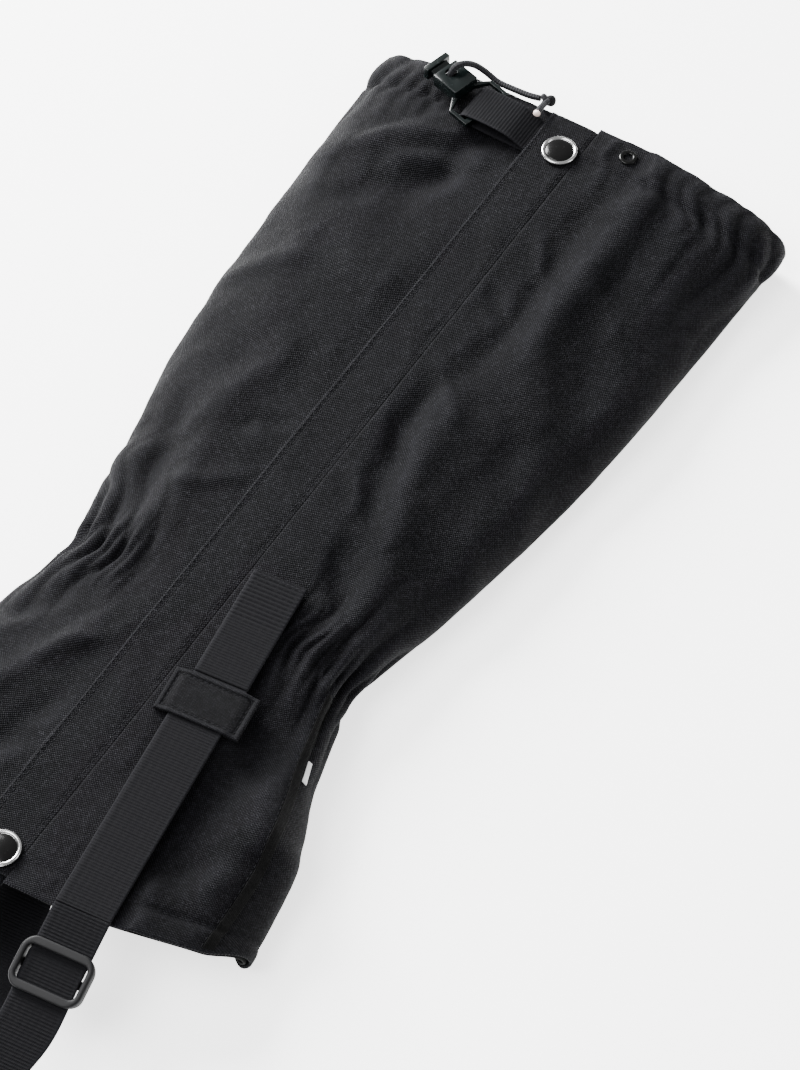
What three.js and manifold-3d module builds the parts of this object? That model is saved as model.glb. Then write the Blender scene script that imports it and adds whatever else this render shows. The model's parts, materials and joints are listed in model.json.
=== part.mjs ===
// A hiking gaiter lying closed on its back: a fabric sleeve for boot and shin, with an overlapping
// front closure, two snap fasteners, a drawcord casing at the top and a strap that runs under the boot.
// Millimetres. +Y runs up the leg, +X to the wearer's outer side and +Z away from the surface.
// The origin lies on that surface, under the closure, at the ankle.
import * as THREE from 'three';
import { mergeVertices } from 'three/addons/utils/BufferGeometryUtils.js';
import Module from 'manifold-3d';

const wasm = await Module();
wasm.setup();

// ---- driving dimensions: the sleeve -------------------------------------------------------------
const CALF_LENGTH = 308;        // ankle to top hem
const BOOT_LENGTH = 157;        // ankle to the lowest point of the front hem
const TOP_HALF = 109;           // half of the width lying flat, at the top hem
const CALF_HALF = 99.5;         // the same at mid calf
const SHIN_HALF = 84;           // just above the gathers
const ANKLE_HALF = 72;          // at the ankle elastic
const INSTEP_HALF = 81;         // just below the gathers
const HEEL_HALF = 97.5;         // over the heel
const HEM_HALF = 105;           // at the boot hem
const HEM_RISE = 27;            // the boot hem rises this far towards the sides
const BACK_HEM_RISE = 23;       // the back is cut this much shorter than the front
const CREST = 34;               // height of the under layer's front
const EDGE_HEIGHT = 12;         // height of the folded sides above the surface
const FLAT_SHARE = 0.55;        // share of the half width that lies flat underneath
const SEAM_SHARE = 0.64;        // the back seams, as a share of the half width
const BACK_RISE_SHARE = 0.7;    // the shorter back reaches its full rise within this share
const WALL = 1.6;               // doubled fabric
const GAP = 0.3;                // clearance between any two pieces that touch

// ---- driving dimensions: closure and snaps ------------------------------------------------------
const FLAP_EDGE_X = -14.5;
const FLAP_WIDTH = 23.8;
const FLAP_THICK = 1.4;
const FLAP_END_MARGIN = 3;      // flap ends short of the hems
const TAPE_THICK = 1.0;         // hook tape and loop tape
const TAPE_MARGIN = 3;          // tape sits back from the flap's edges
const SNAP_CAP_R = 8.5;
const SNAP_CAP_HEIGHT = 2.3;
const SNAP_RIM_HEIGHT = 0.6;
const SNAP_SOCKET_R = 5.5;
const SNAP_BORE_R = 3.2;
const SNAP_STUD_R = 2.2;
const SNAP_FLANGE_R = 5;
const SNAP_PLATE = 0.5;         // thickness of the stud's flange and of its backing plate
const SNAP_TO_FOLD = 9;         // snap centre to the flap's fold line
const TOP_SNAP_DROP = 22;       // below the top hem
const BOTTOM_SNAP_RISE = 11;    // above the boot hem

// ---- driving dimensions: hems, casing, drawcord, elastic ----------------------------------------
const CASING_DEPTH = 18;
const HEM_DEPTH = 14;
const FACING_THICK = 1.0;
const CORD_D = 3;
const CORD_PLAY = 1.0;          // room round the drawcord inside its casing
const ELASTIC_WIDTH = 10;
const ELASTIC_THICK = 1.0;
const CHANNEL_MARGIN = 5;       // the channel tape is wider than its elastic on both edges
const EYELET_R = 4.2;
const EYELET_BORE_R = 2.1;
const EYELET_THICK = 1.0;
const EYELET_DROP = 8;          // below the top hem

// ---- driving dimensions: cord lock and its tab --------------------------------------------------
const TAB_WIDTH = 20;
const TAB_THICK = 1.0;
const TAB_LEFT_X = -50.5;       // outer face of the fold round the lock's bar
const TAB_TO_SNAP = 3.8;        // the tab's sewn end stops this far from the snap's socket
const TAB_TOP_DROP = 8;         // its upper edge lies this far below the top hem
const LOCK_ANGLE = THREE.MathUtils.degToRad(165);
const LOCK_BAR_X = -42;
const TAB_ROOM = 4.5;           // the slanted bar's reach inside the fold
const LOCK_THICK = 7;
const LOCK_LIFT = 1.8;          // room for the drawcord under the lock
const LOCK_BODY_WIDTH = 14;
const LOCK_WINDOW_DEPTH = 12;   // bar to body
const LOCK_WINDOW_SQUARE = 10;  // of which this much has parallel sides
const LOCK_WINDOW_WIDTH = 24;
const LOCK_BAR = 2.4;
const LOCK_WALL = 1.8;
const LOCK_CORD_HOLE_R = 2.7;
const LOCK_SPRING_LENGTH = 5;
const PLUNGER_NOSE = 1.2;
const BUTTON_HEAD = 3;
const BUTTON_TRAVEL = 3.5;
const KNOT_X = -21;
const KNOT_R = 3.2;

// ---- driving dimensions: boot strap -------------------------------------------------------------
const STRAP_ANGLE = THREE.MathUtils.degToRad(7);
const STRAP_WIDTH = 25;
const STRAP_THICK = 1.4;
const STRAP_X = 31.5;           // strap centre at the keeper
const STRAP_Y = -46;
const KEEPER_LENGTH = 22;
const KEEPER_SEAM = 7;          // keeper beyond the strap at each side, where it is sewn down
const KEEPER_THICK = 1.0;
const TAIL_LENGTH = 56;
const LOOP_DROP = 104;          // hem edge to the far end of the strap's loop
const LOOP_RADIUS = 7.5;
const LOOP_SHIFT = 38;          // the loop's return leg lies this far to the inner side
const ANCHOR_LENGTH = 30;
const SLIDER_LENGTH = 22;
const SLIDER_ROOM = 0.8;        // between the strap's edge and the slider's rail
const SLIDER_BAR = 3.2;
const SLIDER_RAIL = 2.2;
const SLIDER_BAR_THICK = 1.6;
const SLIDER_DISTANCE = 26;     // hem edge to the slider's centre
const SLIDER_PLAY = 12;         // it slides this far each way

// ---- driving dimensions: lace hook, seam tape, reflective tab -----------------------------------
const HOOK_X = -3;
const HOOK_WIDTH = 9;
const HOOK_METAL = 1.3;
const HOOK_LENGTH = 15;
const HOOK_RETURN = 6;
const HOOK_MOUTH = 5;
const HOOK_TAB_WIDTH = 12;
const HOOK_TAB_LENGTH = 17;
const SEAM_AT_ANKLE = 0.95;     // heel seam, as a share of the half width
const SEAM_AT_HEM = 0.88;
const SEAM_HALF_SHARE = 0.02;
const TRIM_THICK = 0.8;

// ---- values worked out from them ----------------------------------------------------------------
const TOP_Y = CALF_LENGTH;
const HEM_Y = -BOOT_LENGTH;
const FOLD_X = FLAP_EDGE_X + FLAP_WIDTH;
const HOOK_TAPE_Z = CREST + GAP;
const LOOP_TAPE_Z = HOOK_TAPE_Z + TAPE_THICK + GAP;
const FLAP_Z = LOOP_TAPE_Z + TAPE_THICK + GAP;
const FRONT_Z = FLAP_Z + FLAP_THICK;            // outer face of the flap and of the right panel
const SNAP_X = FOLD_X - SNAP_TO_FOLD;
const TOP_SNAP_Y = TOP_Y - TOP_SNAP_DROP;
const BOTTOM_SNAP_Y = HEM_Y + BOTTOM_SNAP_RISE;
const CORD_INSET = WALL + CORD_PLAY + CORD_D / 2;
const CASING_INSET = CORD_INSET + CORD_D / 2 + CORD_PLAY;
const UNDERLAP_X = FOLD_X - 1.5;
const STRAP_Z = FRONT_Z + GAP + STRAP_THICK / 2;
const TAB_RIGHT_X = SNAP_X - SNAP_SOCKET_R - TAB_TO_SNAP;
const KEEPER_WIDTH = STRAP_WIDTH + 2 * KEEPER_SEAM;
const SLIDER_WIDTH = STRAP_WIDTH + 2 * (SLIDER_ROOM + SLIDER_RAIL);

// ---- finishes -----------------------------------------------------------------------------------
const FINISHES = {
  fabric: { color: 0x1d1e22, roughness: 0.85, metalness: 0 },
  lining: { color: 0x232327, roughness: 0.8, metalness: 0 },
  webbing: { color: 0x2a2b30, roughness: 0.8, metalness: 0 },
  tape: { color: 0x17171a, roughness: 0.95, metalness: 0 },
  cord: { color: 0x202126, roughness: 0.75, metalness: 0 },
  elastic: { color: 0x242427, roughness: 0.85, metalness: 0 },
  plastic: { color: 0x1b1c1e, roughness: 0.45, metalness: 0 },
  lockPlastic: { color: 0x1c2422, roughness: 0.2, metalness: 0 },
  snapMetal: { color: 0x0c0c0e, roughness: 0.12, metalness: 0.6 },
  steel: { color: 0x8a8c90, roughness: 0.3, metalness: 1 },
  trim: { color: 0x9a9ca0, roughness: 0.4, metalness: 0 },
};

const gaiter = new THREE.Group();

function add(name, geometry, finish, parent = gaiter) {
  const mesh = new THREE.Mesh(geometry, new THREE.MeshStandardMaterial(FINISHES[finish]));
  mesh.name = name;
  parent.add(mesh);
  return mesh;
}

// ---- solids -------------------------------------------------------------------------------------
// A plate between two grids of points, closed along its four edges. Rows and columns match.
function plate(outer, inner) {
  const rowCount = outer.length;
  const columnCount = outer[0].length;
  const positions = [...outer, ...inner].flat(2);
  const at = (layer, row, column) => (layer * rowCount + row) * columnCount + column;
  const triangles = [];
  const quad = (a, b, c, d) => triangles.push(a, b, c, a, c, d);
  for (let row = 0; row < rowCount - 1; row += 1) {
    for (let column = 0; column < columnCount - 1; column += 1) {
      quad(at(0, row, column), at(0, row, column + 1), at(0, row + 1, column + 1), at(0, row + 1, column));
      quad(at(1, row, column), at(1, row + 1, column), at(1, row + 1, column + 1), at(1, row, column + 1));
    }
  }
  for (let column = 0; column < columnCount - 1; column += 1) {
    const last = rowCount - 1;
    quad(at(0, 0, column), at(1, 0, column), at(1, 0, column + 1), at(0, 0, column + 1));
    quad(at(0, last, column), at(0, last, column + 1), at(1, last, column + 1), at(1, last, column));
  }
  for (let row = 0; row < rowCount - 1; row += 1) {
    const last = columnCount - 1;
    quad(at(0, row, 0), at(0, row + 1, 0), at(1, row + 1, 0), at(1, row, 0));
    quad(at(0, row, last), at(1, row, last), at(1, row + 1, last), at(0, row + 1, last));
  }
  if (signedVolume(positions, triangles) < 0) {
    for (let i = 0; i < triangles.length; i += 3) {
      [triangles[i + 1], triangles[i + 2]] = [triangles[i + 2], triangles[i + 1]];
    }
  }
  const geometry = new THREE.BufferGeometry();
  geometry.setAttribute('position', new THREE.Float32BufferAttribute(positions, 3));
  geometry.setIndex(triangles);
  geometry.computeVertexNormals();
  return geometry;
}

function signedVolume(positions, triangles) {
  const corner = (index) => new THREE.Vector3().fromArray(positions, index * 3);
  let volume = 0;
  for (let i = 0; i < triangles.length; i += 3) {
    const [a, b, c] = [0, 1, 2].map((k) => corner(triangles[i + k]));
    volume += a.dot(b.cross(c)) / 6;
  }
  return volume;
}

// A flat band of webbing along a route, wide along X.
function band(points, width, thickness) {
  const top = [];
  const bottom = [];
  points.forEach(([x, y, z], i) => {
    const before = points[Math.max(i - 1, 0)];
    const after = points[Math.min(i + 1, points.length - 1)];
    const along = new THREE.Vector2(after[1] - before[1], after[2] - before[2]).normalize();
    const offset = [-along.y * thickness / 2, along.x * thickness / 2];
    const row = (sign) => [-1, 1].map((side) => [
      x + side * width / 2, y + sign * offset[0], z + sign * offset[1]]);
    top.push(row(1));
    bottom.push(row(-1));
  });
  return plate(top, bottom);
}

function box(sizeX, sizeY, sizeZ, x, y, z) {
  return new THREE.BoxGeometry(sizeX, sizeY, sizeZ).translate(x, y, z);
}

// A round piece about a vertical axis; the profile is radius and height, closed on itself or the axis.
function turned(profile, x, y, segments = 24) {
  const points = profile.map(([radius, height]) => new THREE.Vector2(radius, height));
  return new THREE.LatheGeometry(points, segments).rotateX(Math.PI / 2).translate(x, y, 0);
}

function ringProfile(inner, outer, low, high) {
  return [[inner, low], [outer, low], [outer, high], [inner, high], [inner, low]];
}

function discProfile(radius, low, high) {
  return [[0, low], [radius, low], [radius, high], [0, high]];
}

function extruded(shape, depth) {
  return new THREE.ExtrudeGeometry(shape, { depth, bevelEnabled: false, curveSegments: 4 });
}

function cord(points, diameter, steps) {
  const circle = new THREE.Shape();
  const sides = 8;
  for (let i = 0; i < sides; i += 1) {
    const angle = (i + 0.5) * 2 * Math.PI / sides;
    const place = [Math.cos(angle) * diameter / 2, Math.sin(angle) * diameter / 2];
    if (i === 0) circle.moveTo(...place);
    else circle.lineTo(...place);
  }
  const path = new THREE.CatmullRomCurve3(points.map((point) => new THREE.Vector3(...point)));
  return new THREE.ExtrudeGeometry(circle, { steps, extrudePath: path, bevelEnabled: false });
}

function toManifold(geometry) {
  const bare = geometry.clone();
  bare.deleteAttribute('normal');
  bare.deleteAttribute('uv');
  const merged = mergeVertices(bare, 1e-4);
  return new wasm.Manifold(new wasm.Mesh({
    numProp: 3,
    vertProperties: new Float32Array(merged.attributes.position.array),
    triVerts: new Uint32Array(merged.index.array),
  }));
}

function fromManifold(manifold) {
  const mesh = manifold.getMesh();
  const geometry = new THREE.BufferGeometry();
  geometry.setAttribute('position', new THREE.BufferAttribute(new Float32Array(mesh.vertProperties), 3));
  geometry.setIndex(new THREE.BufferAttribute(new Uint32Array(mesh.triVerts), 1));
  geometry.computeVertexNormals();
  return geometry;
}

function cut(geometry, ...tools) {
  const solid = tools.reduce((rest, tool) => rest.subtract(toManifold(tool)), toManifold(geometry));
  return fromManifold(solid);
}

function join(geometry, ...others) {
  const solid = others.reduce((sum, other) => sum.add(toManifold(other)), toManifold(geometry));
  return fromManifold(solid);
}

// ---- the sleeve's shape -------------------------------------------------------------------------
const INSTEP_Y = HEM_Y * 0.26;
const REFLECTIVE_LOW = HEM_Y * 0.34;
const WIDTH_STATIONS = [
  [HEM_Y, HEM_HALF],
  [HEM_Y * 0.6, HEEL_HALF],
  [INSTEP_Y, INSTEP_HALF],
  [0, ANKLE_HALF],
  [TOP_Y * 0.18, SHIN_HALF],
  [TOP_Y * 0.49, CALF_HALF],
  [TOP_Y, TOP_HALF],
];

const ANKLE_STATION = 3;

// Slope of the outline at a station; the ankle is its narrowest place.
function outlineSlope(k) {
  if (k === ANKLE_STATION) return 0;
  const low = WIDTH_STATIONS[Math.max(k - 1, 0)];
  const high = WIDTH_STATIONS[Math.min(k + 1, WIDTH_STATIONS.length - 1)];
  return (high[1] - low[1]) / (high[0] - low[0]);
}

// Half of the width at a height up the leg, as a smooth curve through the stations.
function halfWidth(y) {
  let i = 0;
  while (i < WIDTH_STATIONS.length - 2 && y > WIDTH_STATIONS[i + 1][0]) i += 1;
  const [y0, w0] = WIDTH_STATIONS[i];
  const [y1, w1] = WIDTH_STATIONS[i + 1];
  const span = y1 - y0;
  const t = THREE.MathUtils.clamp((y - y0) / span, 0, 1);
  const rest = 1 - t;
  return w0 * rest * rest * (1 + 2 * t) + outlineSlope(i) * span * t * rest * rest
    + w1 * t * t * (3 - 2 * t) - outlineSlope(i + 1) * span * t * t * rest;
}

// Heights of the sleeve's upper and lower faces, a distance of inset inside its outer face.
function upperZ(x, y, inset, crest) {
  const share = Math.min(Math.abs(x) / (halfWidth(y) - inset), 1);
  return EDGE_HEIGHT + (crest - inset - EDGE_HEIGHT) * Math.sqrt(1 - share ** 4);
}

function lowerZ(x, y, inset) {
  const share = Math.abs(x) / (halfWidth(y) - inset);
  const lift = Math.max(0, (share - FLAT_SHARE) / (1 - FLAT_SHARE));
  return inset + (EDGE_HEIGHT - inset) * (1 - Math.sqrt(1 - Math.min(lift, 1) ** 3));
}

// The boot hem rises towards the sides; rows above the instep stay level.
const nearHem = (y) => THREE.MathUtils.clamp((y - INSTEP_Y) / (HEM_Y - INSTEP_Y), 0, 1);

function risen(x, y) {
  const share = x / halfWidth(y);
  return y + HEM_RISE * share * share * nearHem(y);
}

// Underneath, it rises further between the folded sides.
function risenBack(x, y) {
  const share = Math.abs(x) / halfWidth(y);
  return risen(x, y) + BACK_HEM_RISE * nearHem(y) * (1 - THREE.MathUtils.smoothstep(share, BACK_RISE_SHARE, 1));
}

const HALF_ELASTIC = ELASTIC_WIDTH / 2;
const HALF_CHANNEL = HALF_ELASTIC + CHANNEL_MARGIN;
const ROW_LEVELS = [
  HEM_Y, HEM_Y + HEM_DEPTH, HEM_Y * 0.75, HEM_Y * 0.6, HEM_Y * 0.46, REFLECTIVE_LOW, INSTEP_Y, HEM_Y * 0.16,
  -HALF_CHANNEL, -HALF_ELASTIC, HALF_ELASTIC, HALF_CHANNEL,
  TOP_Y * 0.09, TOP_Y * 0.18, TOP_Y * 0.29, TOP_Y * 0.4, TOP_Y * 0.52, TOP_Y * 0.66, TOP_Y * 0.8,
  TOP_Y - CASING_DEPTH, TOP_Y - EYELET_DROP, TOP_Y,
];
const UPPER_COLUMNS = 8;
const LOWER_COLUMNS = 4;
const BACK_COLUMNS = 6;

// One row of a side panel, from the closure round the folded edge to the back seam.
function sideRow(side, y, inset, crest, innerX) {
  const edge = side * (halfWidth(y) - inset);
  const seam = side * (halfWidth(y) * SEAM_SHARE + GAP);
  const row = [];
  for (let k = 0; k <= UPPER_COLUMNS; k += 1) {
    const x = innerX + (edge - innerX) * Math.sin(k / UPPER_COLUMNS * Math.PI / 2);
    row.push([x, risen(x, y), upperZ(x, y, inset, crest)]);
  }
  for (let k = 1; k <= LOWER_COLUMNS; k += 1) {
    const x = seam + (edge - seam) * Math.cos(k / LOWER_COLUMNS * Math.PI / 2);
    row.push([x, risenBack(x, y), lowerZ(x, y, inset)]);
  }
  return row;
}

function backRow(y, inset) {
  const row = [];
  for (let k = 0; k <= BACK_COLUMNS; k += 1) {
    const x = halfWidth(y) * SEAM_SHARE * (2 * k / BACK_COLUMNS - 1);
    row.push([x, risenBack(x, y), lowerZ(x, y, inset)]);
  }
  return row;
}

const SIDES = {
  left: { side: -1, crest: CREST, innerX: UNDERLAP_X },
  right: { side: 1, crest: FRONT_Z, innerX: FOLD_X + GAP / 2 },
};

// A layer of a side panel between two levels, from one column to another.
function sideLayer(which, low, high, inset, thickness, from = 0, to = UPPER_COLUMNS + LOWER_COLUMNS) {
  const { side, crest, innerX } = SIDES[which];
  const levels = ROW_LEVELS.filter((y) => y >= low - 1e-6 && y <= high + 1e-6);
  const grid = (depth) => levels.map((y) => sideRow(side, y, depth, crest, innerX).slice(from, to + 1));
  return plate(grid(inset), grid(inset + thickness));
}

function backLayer(low, high, inset, thickness) {
  const levels = ROW_LEVELS.filter((y) => y >= low - 1e-6 && y <= high + 1e-6);
  const grid = (depth) => levels.map((y) => backRow(y, depth));
  return plate(grid(inset), grid(inset + thickness));
}

// ---- sleeve, hems, elastic ----------------------------------------------------------------------
const CASING_START = { left: 4, right: 1 };     // columns where the drawcord enters and leaves
const ELASTIC_START = 3;
const SEAM_END = UPPER_COLUMNS + LOWER_COLUMNS;
const FACING_INSET = WALL + GAP;

for (const which of ['left', 'right']) {
  add(`${which}_panel`, sideLayer(which, HEM_Y, TOP_Y, 0, WALL), 'fabric');
  add(`top_casing_${which}`, sideLayer(which, TOP_Y - CASING_DEPTH, TOP_Y, CASING_INSET, FACING_THICK,
    CASING_START[which]), 'lining');
  add(`hem_facing_${which}`, sideLayer(which, HEM_Y, HEM_Y + HEM_DEPTH, FACING_INSET, FACING_THICK, 1),
    'lining');
  add(`ankle_elastic_${which}`, sideLayer(which, -HALF_ELASTIC, HALF_ELASTIC, FACING_INSET,
    ELASTIC_THICK, ELASTIC_START), 'elastic');
  add(`ankle_channel_${which}`, sideLayer(which, -HALF_CHANNEL, HALF_CHANNEL,
    FACING_INSET + ELASTIC_THICK + GAP, FACING_THICK, ELASTIC_START, SEAM_END), 'lining');
}
add('back_panel', backLayer(HEM_Y, TOP_Y, 0, WALL), 'fabric');
add('top_casing_back', backLayer(TOP_Y - CASING_DEPTH, TOP_Y, CASING_INSET, FACING_THICK), 'lining');
add('hem_facing_back', backLayer(HEM_Y, HEM_Y + HEM_DEPTH, FACING_INSET, FACING_THICK), 'lining');

// ---- drawcord, eyelets --------------------------------------------------------------------------
const CORD_Y = TOP_Y - CASING_DEPTH / 2;
const cordSide = (which) => {
  const { side, crest, innerX } = SIDES[which];
  return sideRow(side, CORD_Y, CORD_INSET, crest, innerX).slice(CASING_START[which]);
};
const casingRoute = [
  ...cordSide('right'),
  ...backRow(CORD_Y, CORD_INSET).reverse().slice(1, -1),
  ...cordSide('left').reverse(),
].map(([x, , z]) => [x, CORD_Y, z]);
add('drawcord', cord(casingRoute, CORD_D, 72), 'cord');

const eyeletY = TOP_Y - EYELET_DROP;
const mouthX = sideRow(-1, TOP_Y, 0, CREST, UNDERLAP_X)[CASING_START.left][0];
const eyeletX = sideRow(1, TOP_Y, 0, FRONT_Z, FOLD_X)[CASING_START.right][0];
const eyeletLow = upperZ(eyeletX - EYELET_R, TOP_Y, 0, FRONT_Z) + GAP;
const eyeletProfile = ringProfile(EYELET_BORE_R, EYELET_R, eyeletLow, eyeletLow + EYELET_THICK);
add('casing_eyelet', turned(eyeletProfile, eyeletX, eyeletY, 16), 'snapMetal');

// ---- closure ------------------------------------------------------------------------------------
const flapLow = HEM_Y + FLAP_END_MARGIN;
const flapHigh = TOP_Y - FLAP_END_MARGIN;
const flapRight = FOLD_X - GAP / 2;
add('front_flap', box(flapRight - FLAP_EDGE_X, flapHigh - flapLow, FLAP_THICK,
  (flapRight + FLAP_EDGE_X) / 2, (flapHigh + flapLow) / 2, FLAP_Z + FLAP_THICK / 2), 'fabric');

const tapeLow = BOTTOM_SNAP_Y + SNAP_CAP_R + TAPE_MARGIN;
const tapeHigh = TOP_Y - TAB_TOP_DROP - TAB_WIDTH - TAPE_MARGIN;
const tapeLeft = FLAP_EDGE_X + TAPE_MARGIN;
const tapeRight = UNDERLAP_X - TAPE_MARGIN / 2;
const addTape = (name, z) => add(name, box(tapeRight - tapeLeft, tapeHigh - tapeLow, TAPE_THICK,
  (tapeLeft + tapeRight) / 2, (tapeLow + tapeHigh) / 2, z + TAPE_THICK / 2), 'tape');
addTape('hook_tape', HOOK_TAPE_Z);
addTape('loop_tape', LOOP_TAPE_Z);

function addSnap(name, y) {
  const capLow = FRONT_Z + GAP;
  const capProfile = [[0, capLow], [SNAP_CAP_R, capLow], [SNAP_CAP_R, capLow + SNAP_RIM_HEIGHT]];
  for (let k = 1; k <= 4; k += 1) {
    const angle = k / 4 * Math.PI / 2;
    capProfile.push([SNAP_CAP_R * 0.94 * Math.cos(angle),
      capLow + SNAP_RIM_HEIGHT + (SNAP_CAP_HEIGHT - SNAP_RIM_HEIGHT) * Math.sin(angle)]);
  }
  capProfile[capProfile.length - 1][0] = 0;
  add(`${name}_snap_cap`, turned(capProfile, SNAP_X, y), 'snapMetal');

  const flangeTop = CREST + GAP + SNAP_PLATE;
  const socketHigh = FLAP_Z - GAP;
  const socket = ringProfile(SNAP_BORE_R, SNAP_SOCKET_R, flangeTop + GAP, socketHigh);
  add(`${name}_snap_socket`, turned(socket, SNAP_X, y, 20), 'snapMetal');

  const stud = [[0, CREST + GAP], [SNAP_FLANGE_R, CREST + GAP], [SNAP_FLANGE_R, flangeTop],
    [SNAP_STUD_R, flangeTop], [SNAP_STUD_R, socketHigh - GAP], [0, socketHigh - GAP]];
  add(`${name}_snap_stud`, turned(stud, SNAP_X, y, 20), 'snapMetal');

  const plateHigh = CREST - WALL - GAP;
  const backing = discProfile(SNAP_FLANGE_R, plateHigh - SNAP_PLATE, plateHigh);
  add(`${name}_snap_backing`, turned(backing, SNAP_X, y, 16), 'steel');
}
addSnap('top', TOP_SNAP_Y);
addSnap('bottom', BOTTOM_SNAP_Y);

// ---- cord lock on its webbing tab ---------------------------------------------------------------
const tabY = TOP_Y - TAB_TOP_DROP - TAB_WIDTH / 2;
const tabLowZ = CREST + GAP + TAB_THICK / 2;
const lockLow = CREST + GAP + TAB_THICK + LOCK_LIFT;
const barHigh = lockLow + LOCK_BAR;
const tabHighZ = LOOP_TAPE_Z + TAB_THICK / 2;
const tabOverBar = barHigh + GAP + TAB_THICK / 2;
// Drawn along Y, then turned so that its fold points towards the left.
const tabRoute = [
  [0, TAB_RIGHT_X, tabHighZ],
  [0, FLAP_EDGE_X, tabHighZ],
  [0, FLAP_EDGE_X - 12, tabOverBar],
  [0, LOCK_BAR_X - TAB_ROOM, tabOverBar],
  [0, TAB_LEFT_X + 1.8, tabOverBar - 0.8],
  [0, TAB_LEFT_X + 0.5, (tabOverBar + tabLowZ) / 2],
  [0, TAB_LEFT_X + 1.8, tabLowZ + 0.5],
  [0, LOCK_BAR_X, tabLowZ],
  [0, TAB_RIGHT_X, tabLowZ],
];
const tab = band(tabRoute, TAB_WIDTH, TAB_THICK).rotateZ(-Math.PI / 2).translate(0, tabY, 0);
add('cord_lock_tab', tab, 'webbing');

// The lock's own axis runs from its bar to its button.
const lock = new THREE.Group();
lock.position.set(LOCK_BAR_X, tabY, lockLow);
lock.rotation.z = LOCK_ANGLE;
gaiter.add(lock);

const bodyStart = LOCK_WINDOW_DEPTH + LOCK_BAR / 2;
const boreStart = bodyStart + LOCK_WALL;
const plungerStart = boreStart + LOCK_SPRING_LENGTH + 2 * GAP;
const cordHoleAt = plungerStart + PLUNGER_NOSE + CORD_D / 2 + GAP;
const bodyEnd = cordHoleAt + LOCK_CORD_HOLE_R + LOCK_WALL;
const loopHalf = LOCK_WINDOW_WIDTH / 2 + LOCK_WALL;
const bodyHalf = LOCK_BODY_WIDTH / 2;
const loopShape = new THREE.Shape();
loopShape.moveTo(-LOCK_BAR / 2, -loopHalf);
loopShape.lineTo(LOCK_WINDOW_SQUARE, -loopHalf);
loopShape.lineTo(bodyStart + 2, -bodyHalf);
loopShape.lineTo(bodyStart + 2, bodyHalf);
loopShape.lineTo(LOCK_WINDOW_SQUARE, loopHalf);
loopShape.lineTo(-LOCK_BAR / 2, loopHalf);
const windowShape = new THREE.Path();
windowShape.moveTo(LOCK_BAR / 2, -LOCK_WINDOW_WIDTH / 2);
windowShape.lineTo(LOCK_BAR / 2, LOCK_WINDOW_WIDTH / 2);
windowShape.lineTo(LOCK_WINDOW_SQUARE, LOCK_WINDOW_WIDTH / 2);
windowShape.lineTo(bodyStart, bodyHalf - LOCK_WALL);
windowShape.lineTo(bodyStart, -bodyHalf + LOCK_WALL);
windowShape.lineTo(LOCK_WINDOW_SQUARE, -LOCK_WINDOW_WIDTH / 2);
loopShape.holes.push(windowShape);
const bodyBlock = box(bodyEnd - bodyStart, LOCK_BODY_WIDTH, LOCK_THICK,
  (bodyStart + bodyEnd) / 2, 0, LOCK_THICK / 2);
const boreHalf = bodyHalf - LOCK_WALL;
const boreHeight = LOCK_THICK - 2 * LOCK_WALL;
const bore = box(bodyEnd - bodyStart, boreHalf * 2, boreHeight,
  boreStart + (bodyEnd - bodyStart) / 2, 0, LOCK_THICK / 2);
const cordHole = turned(discProfile(LOCK_CORD_HOLE_R, -1, LOCK_THICK + 1), cordHoleAt, 0, 16);
add('cord_lock_body', cut(join(extruded(loopShape, LOCK_BAR), bodyBlock), bore, cordHole),
  'lockPlastic', lock);

const plungerHalf = boreHalf - GAP;
const plungerHeight = boreHeight - 2 * GAP;
const plunger = box(bodyEnd + BUTTON_TRAVEL + GAP - plungerStart, plungerHalf * 2, plungerHeight,
  (plungerStart + bodyEnd + BUTTON_TRAVEL + GAP) / 2, 0, LOCK_THICK / 2);
const buttonStart = bodyEnd + BUTTON_TRAVEL + GAP;
const head = box(BUTTON_HEAD, LOCK_BODY_WIDTH, LOCK_THICK, buttonStart + BUTTON_HEAD / 2, 0, LOCK_THICK / 2);
const slotStart = plungerStart + PLUNGER_NOSE;
const slotLength = CORD_D + 2 * GAP + BUTTON_TRAVEL;
const plungerSlot = box(slotLength, LOCK_CORD_HOLE_R * 2, LOCK_THICK + 2,
  slotStart + slotLength / 2, 0, LOCK_THICK / 2);
add('cord_lock_button', cut(join(plunger, head), plungerSlot), 'lockPlastic', lock);
const spring = new THREE.CylinderGeometry(plungerHeight / 2, plungerHeight / 2, LOCK_SPRING_LENGTH, 12);
spring.rotateZ(Math.PI / 2).translate(boreStart + GAP + LOCK_SPRING_LENGTH / 2, 0, LOCK_THICK / 2);
add('cord_lock_spring', spring, 'steel', lock);

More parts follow.
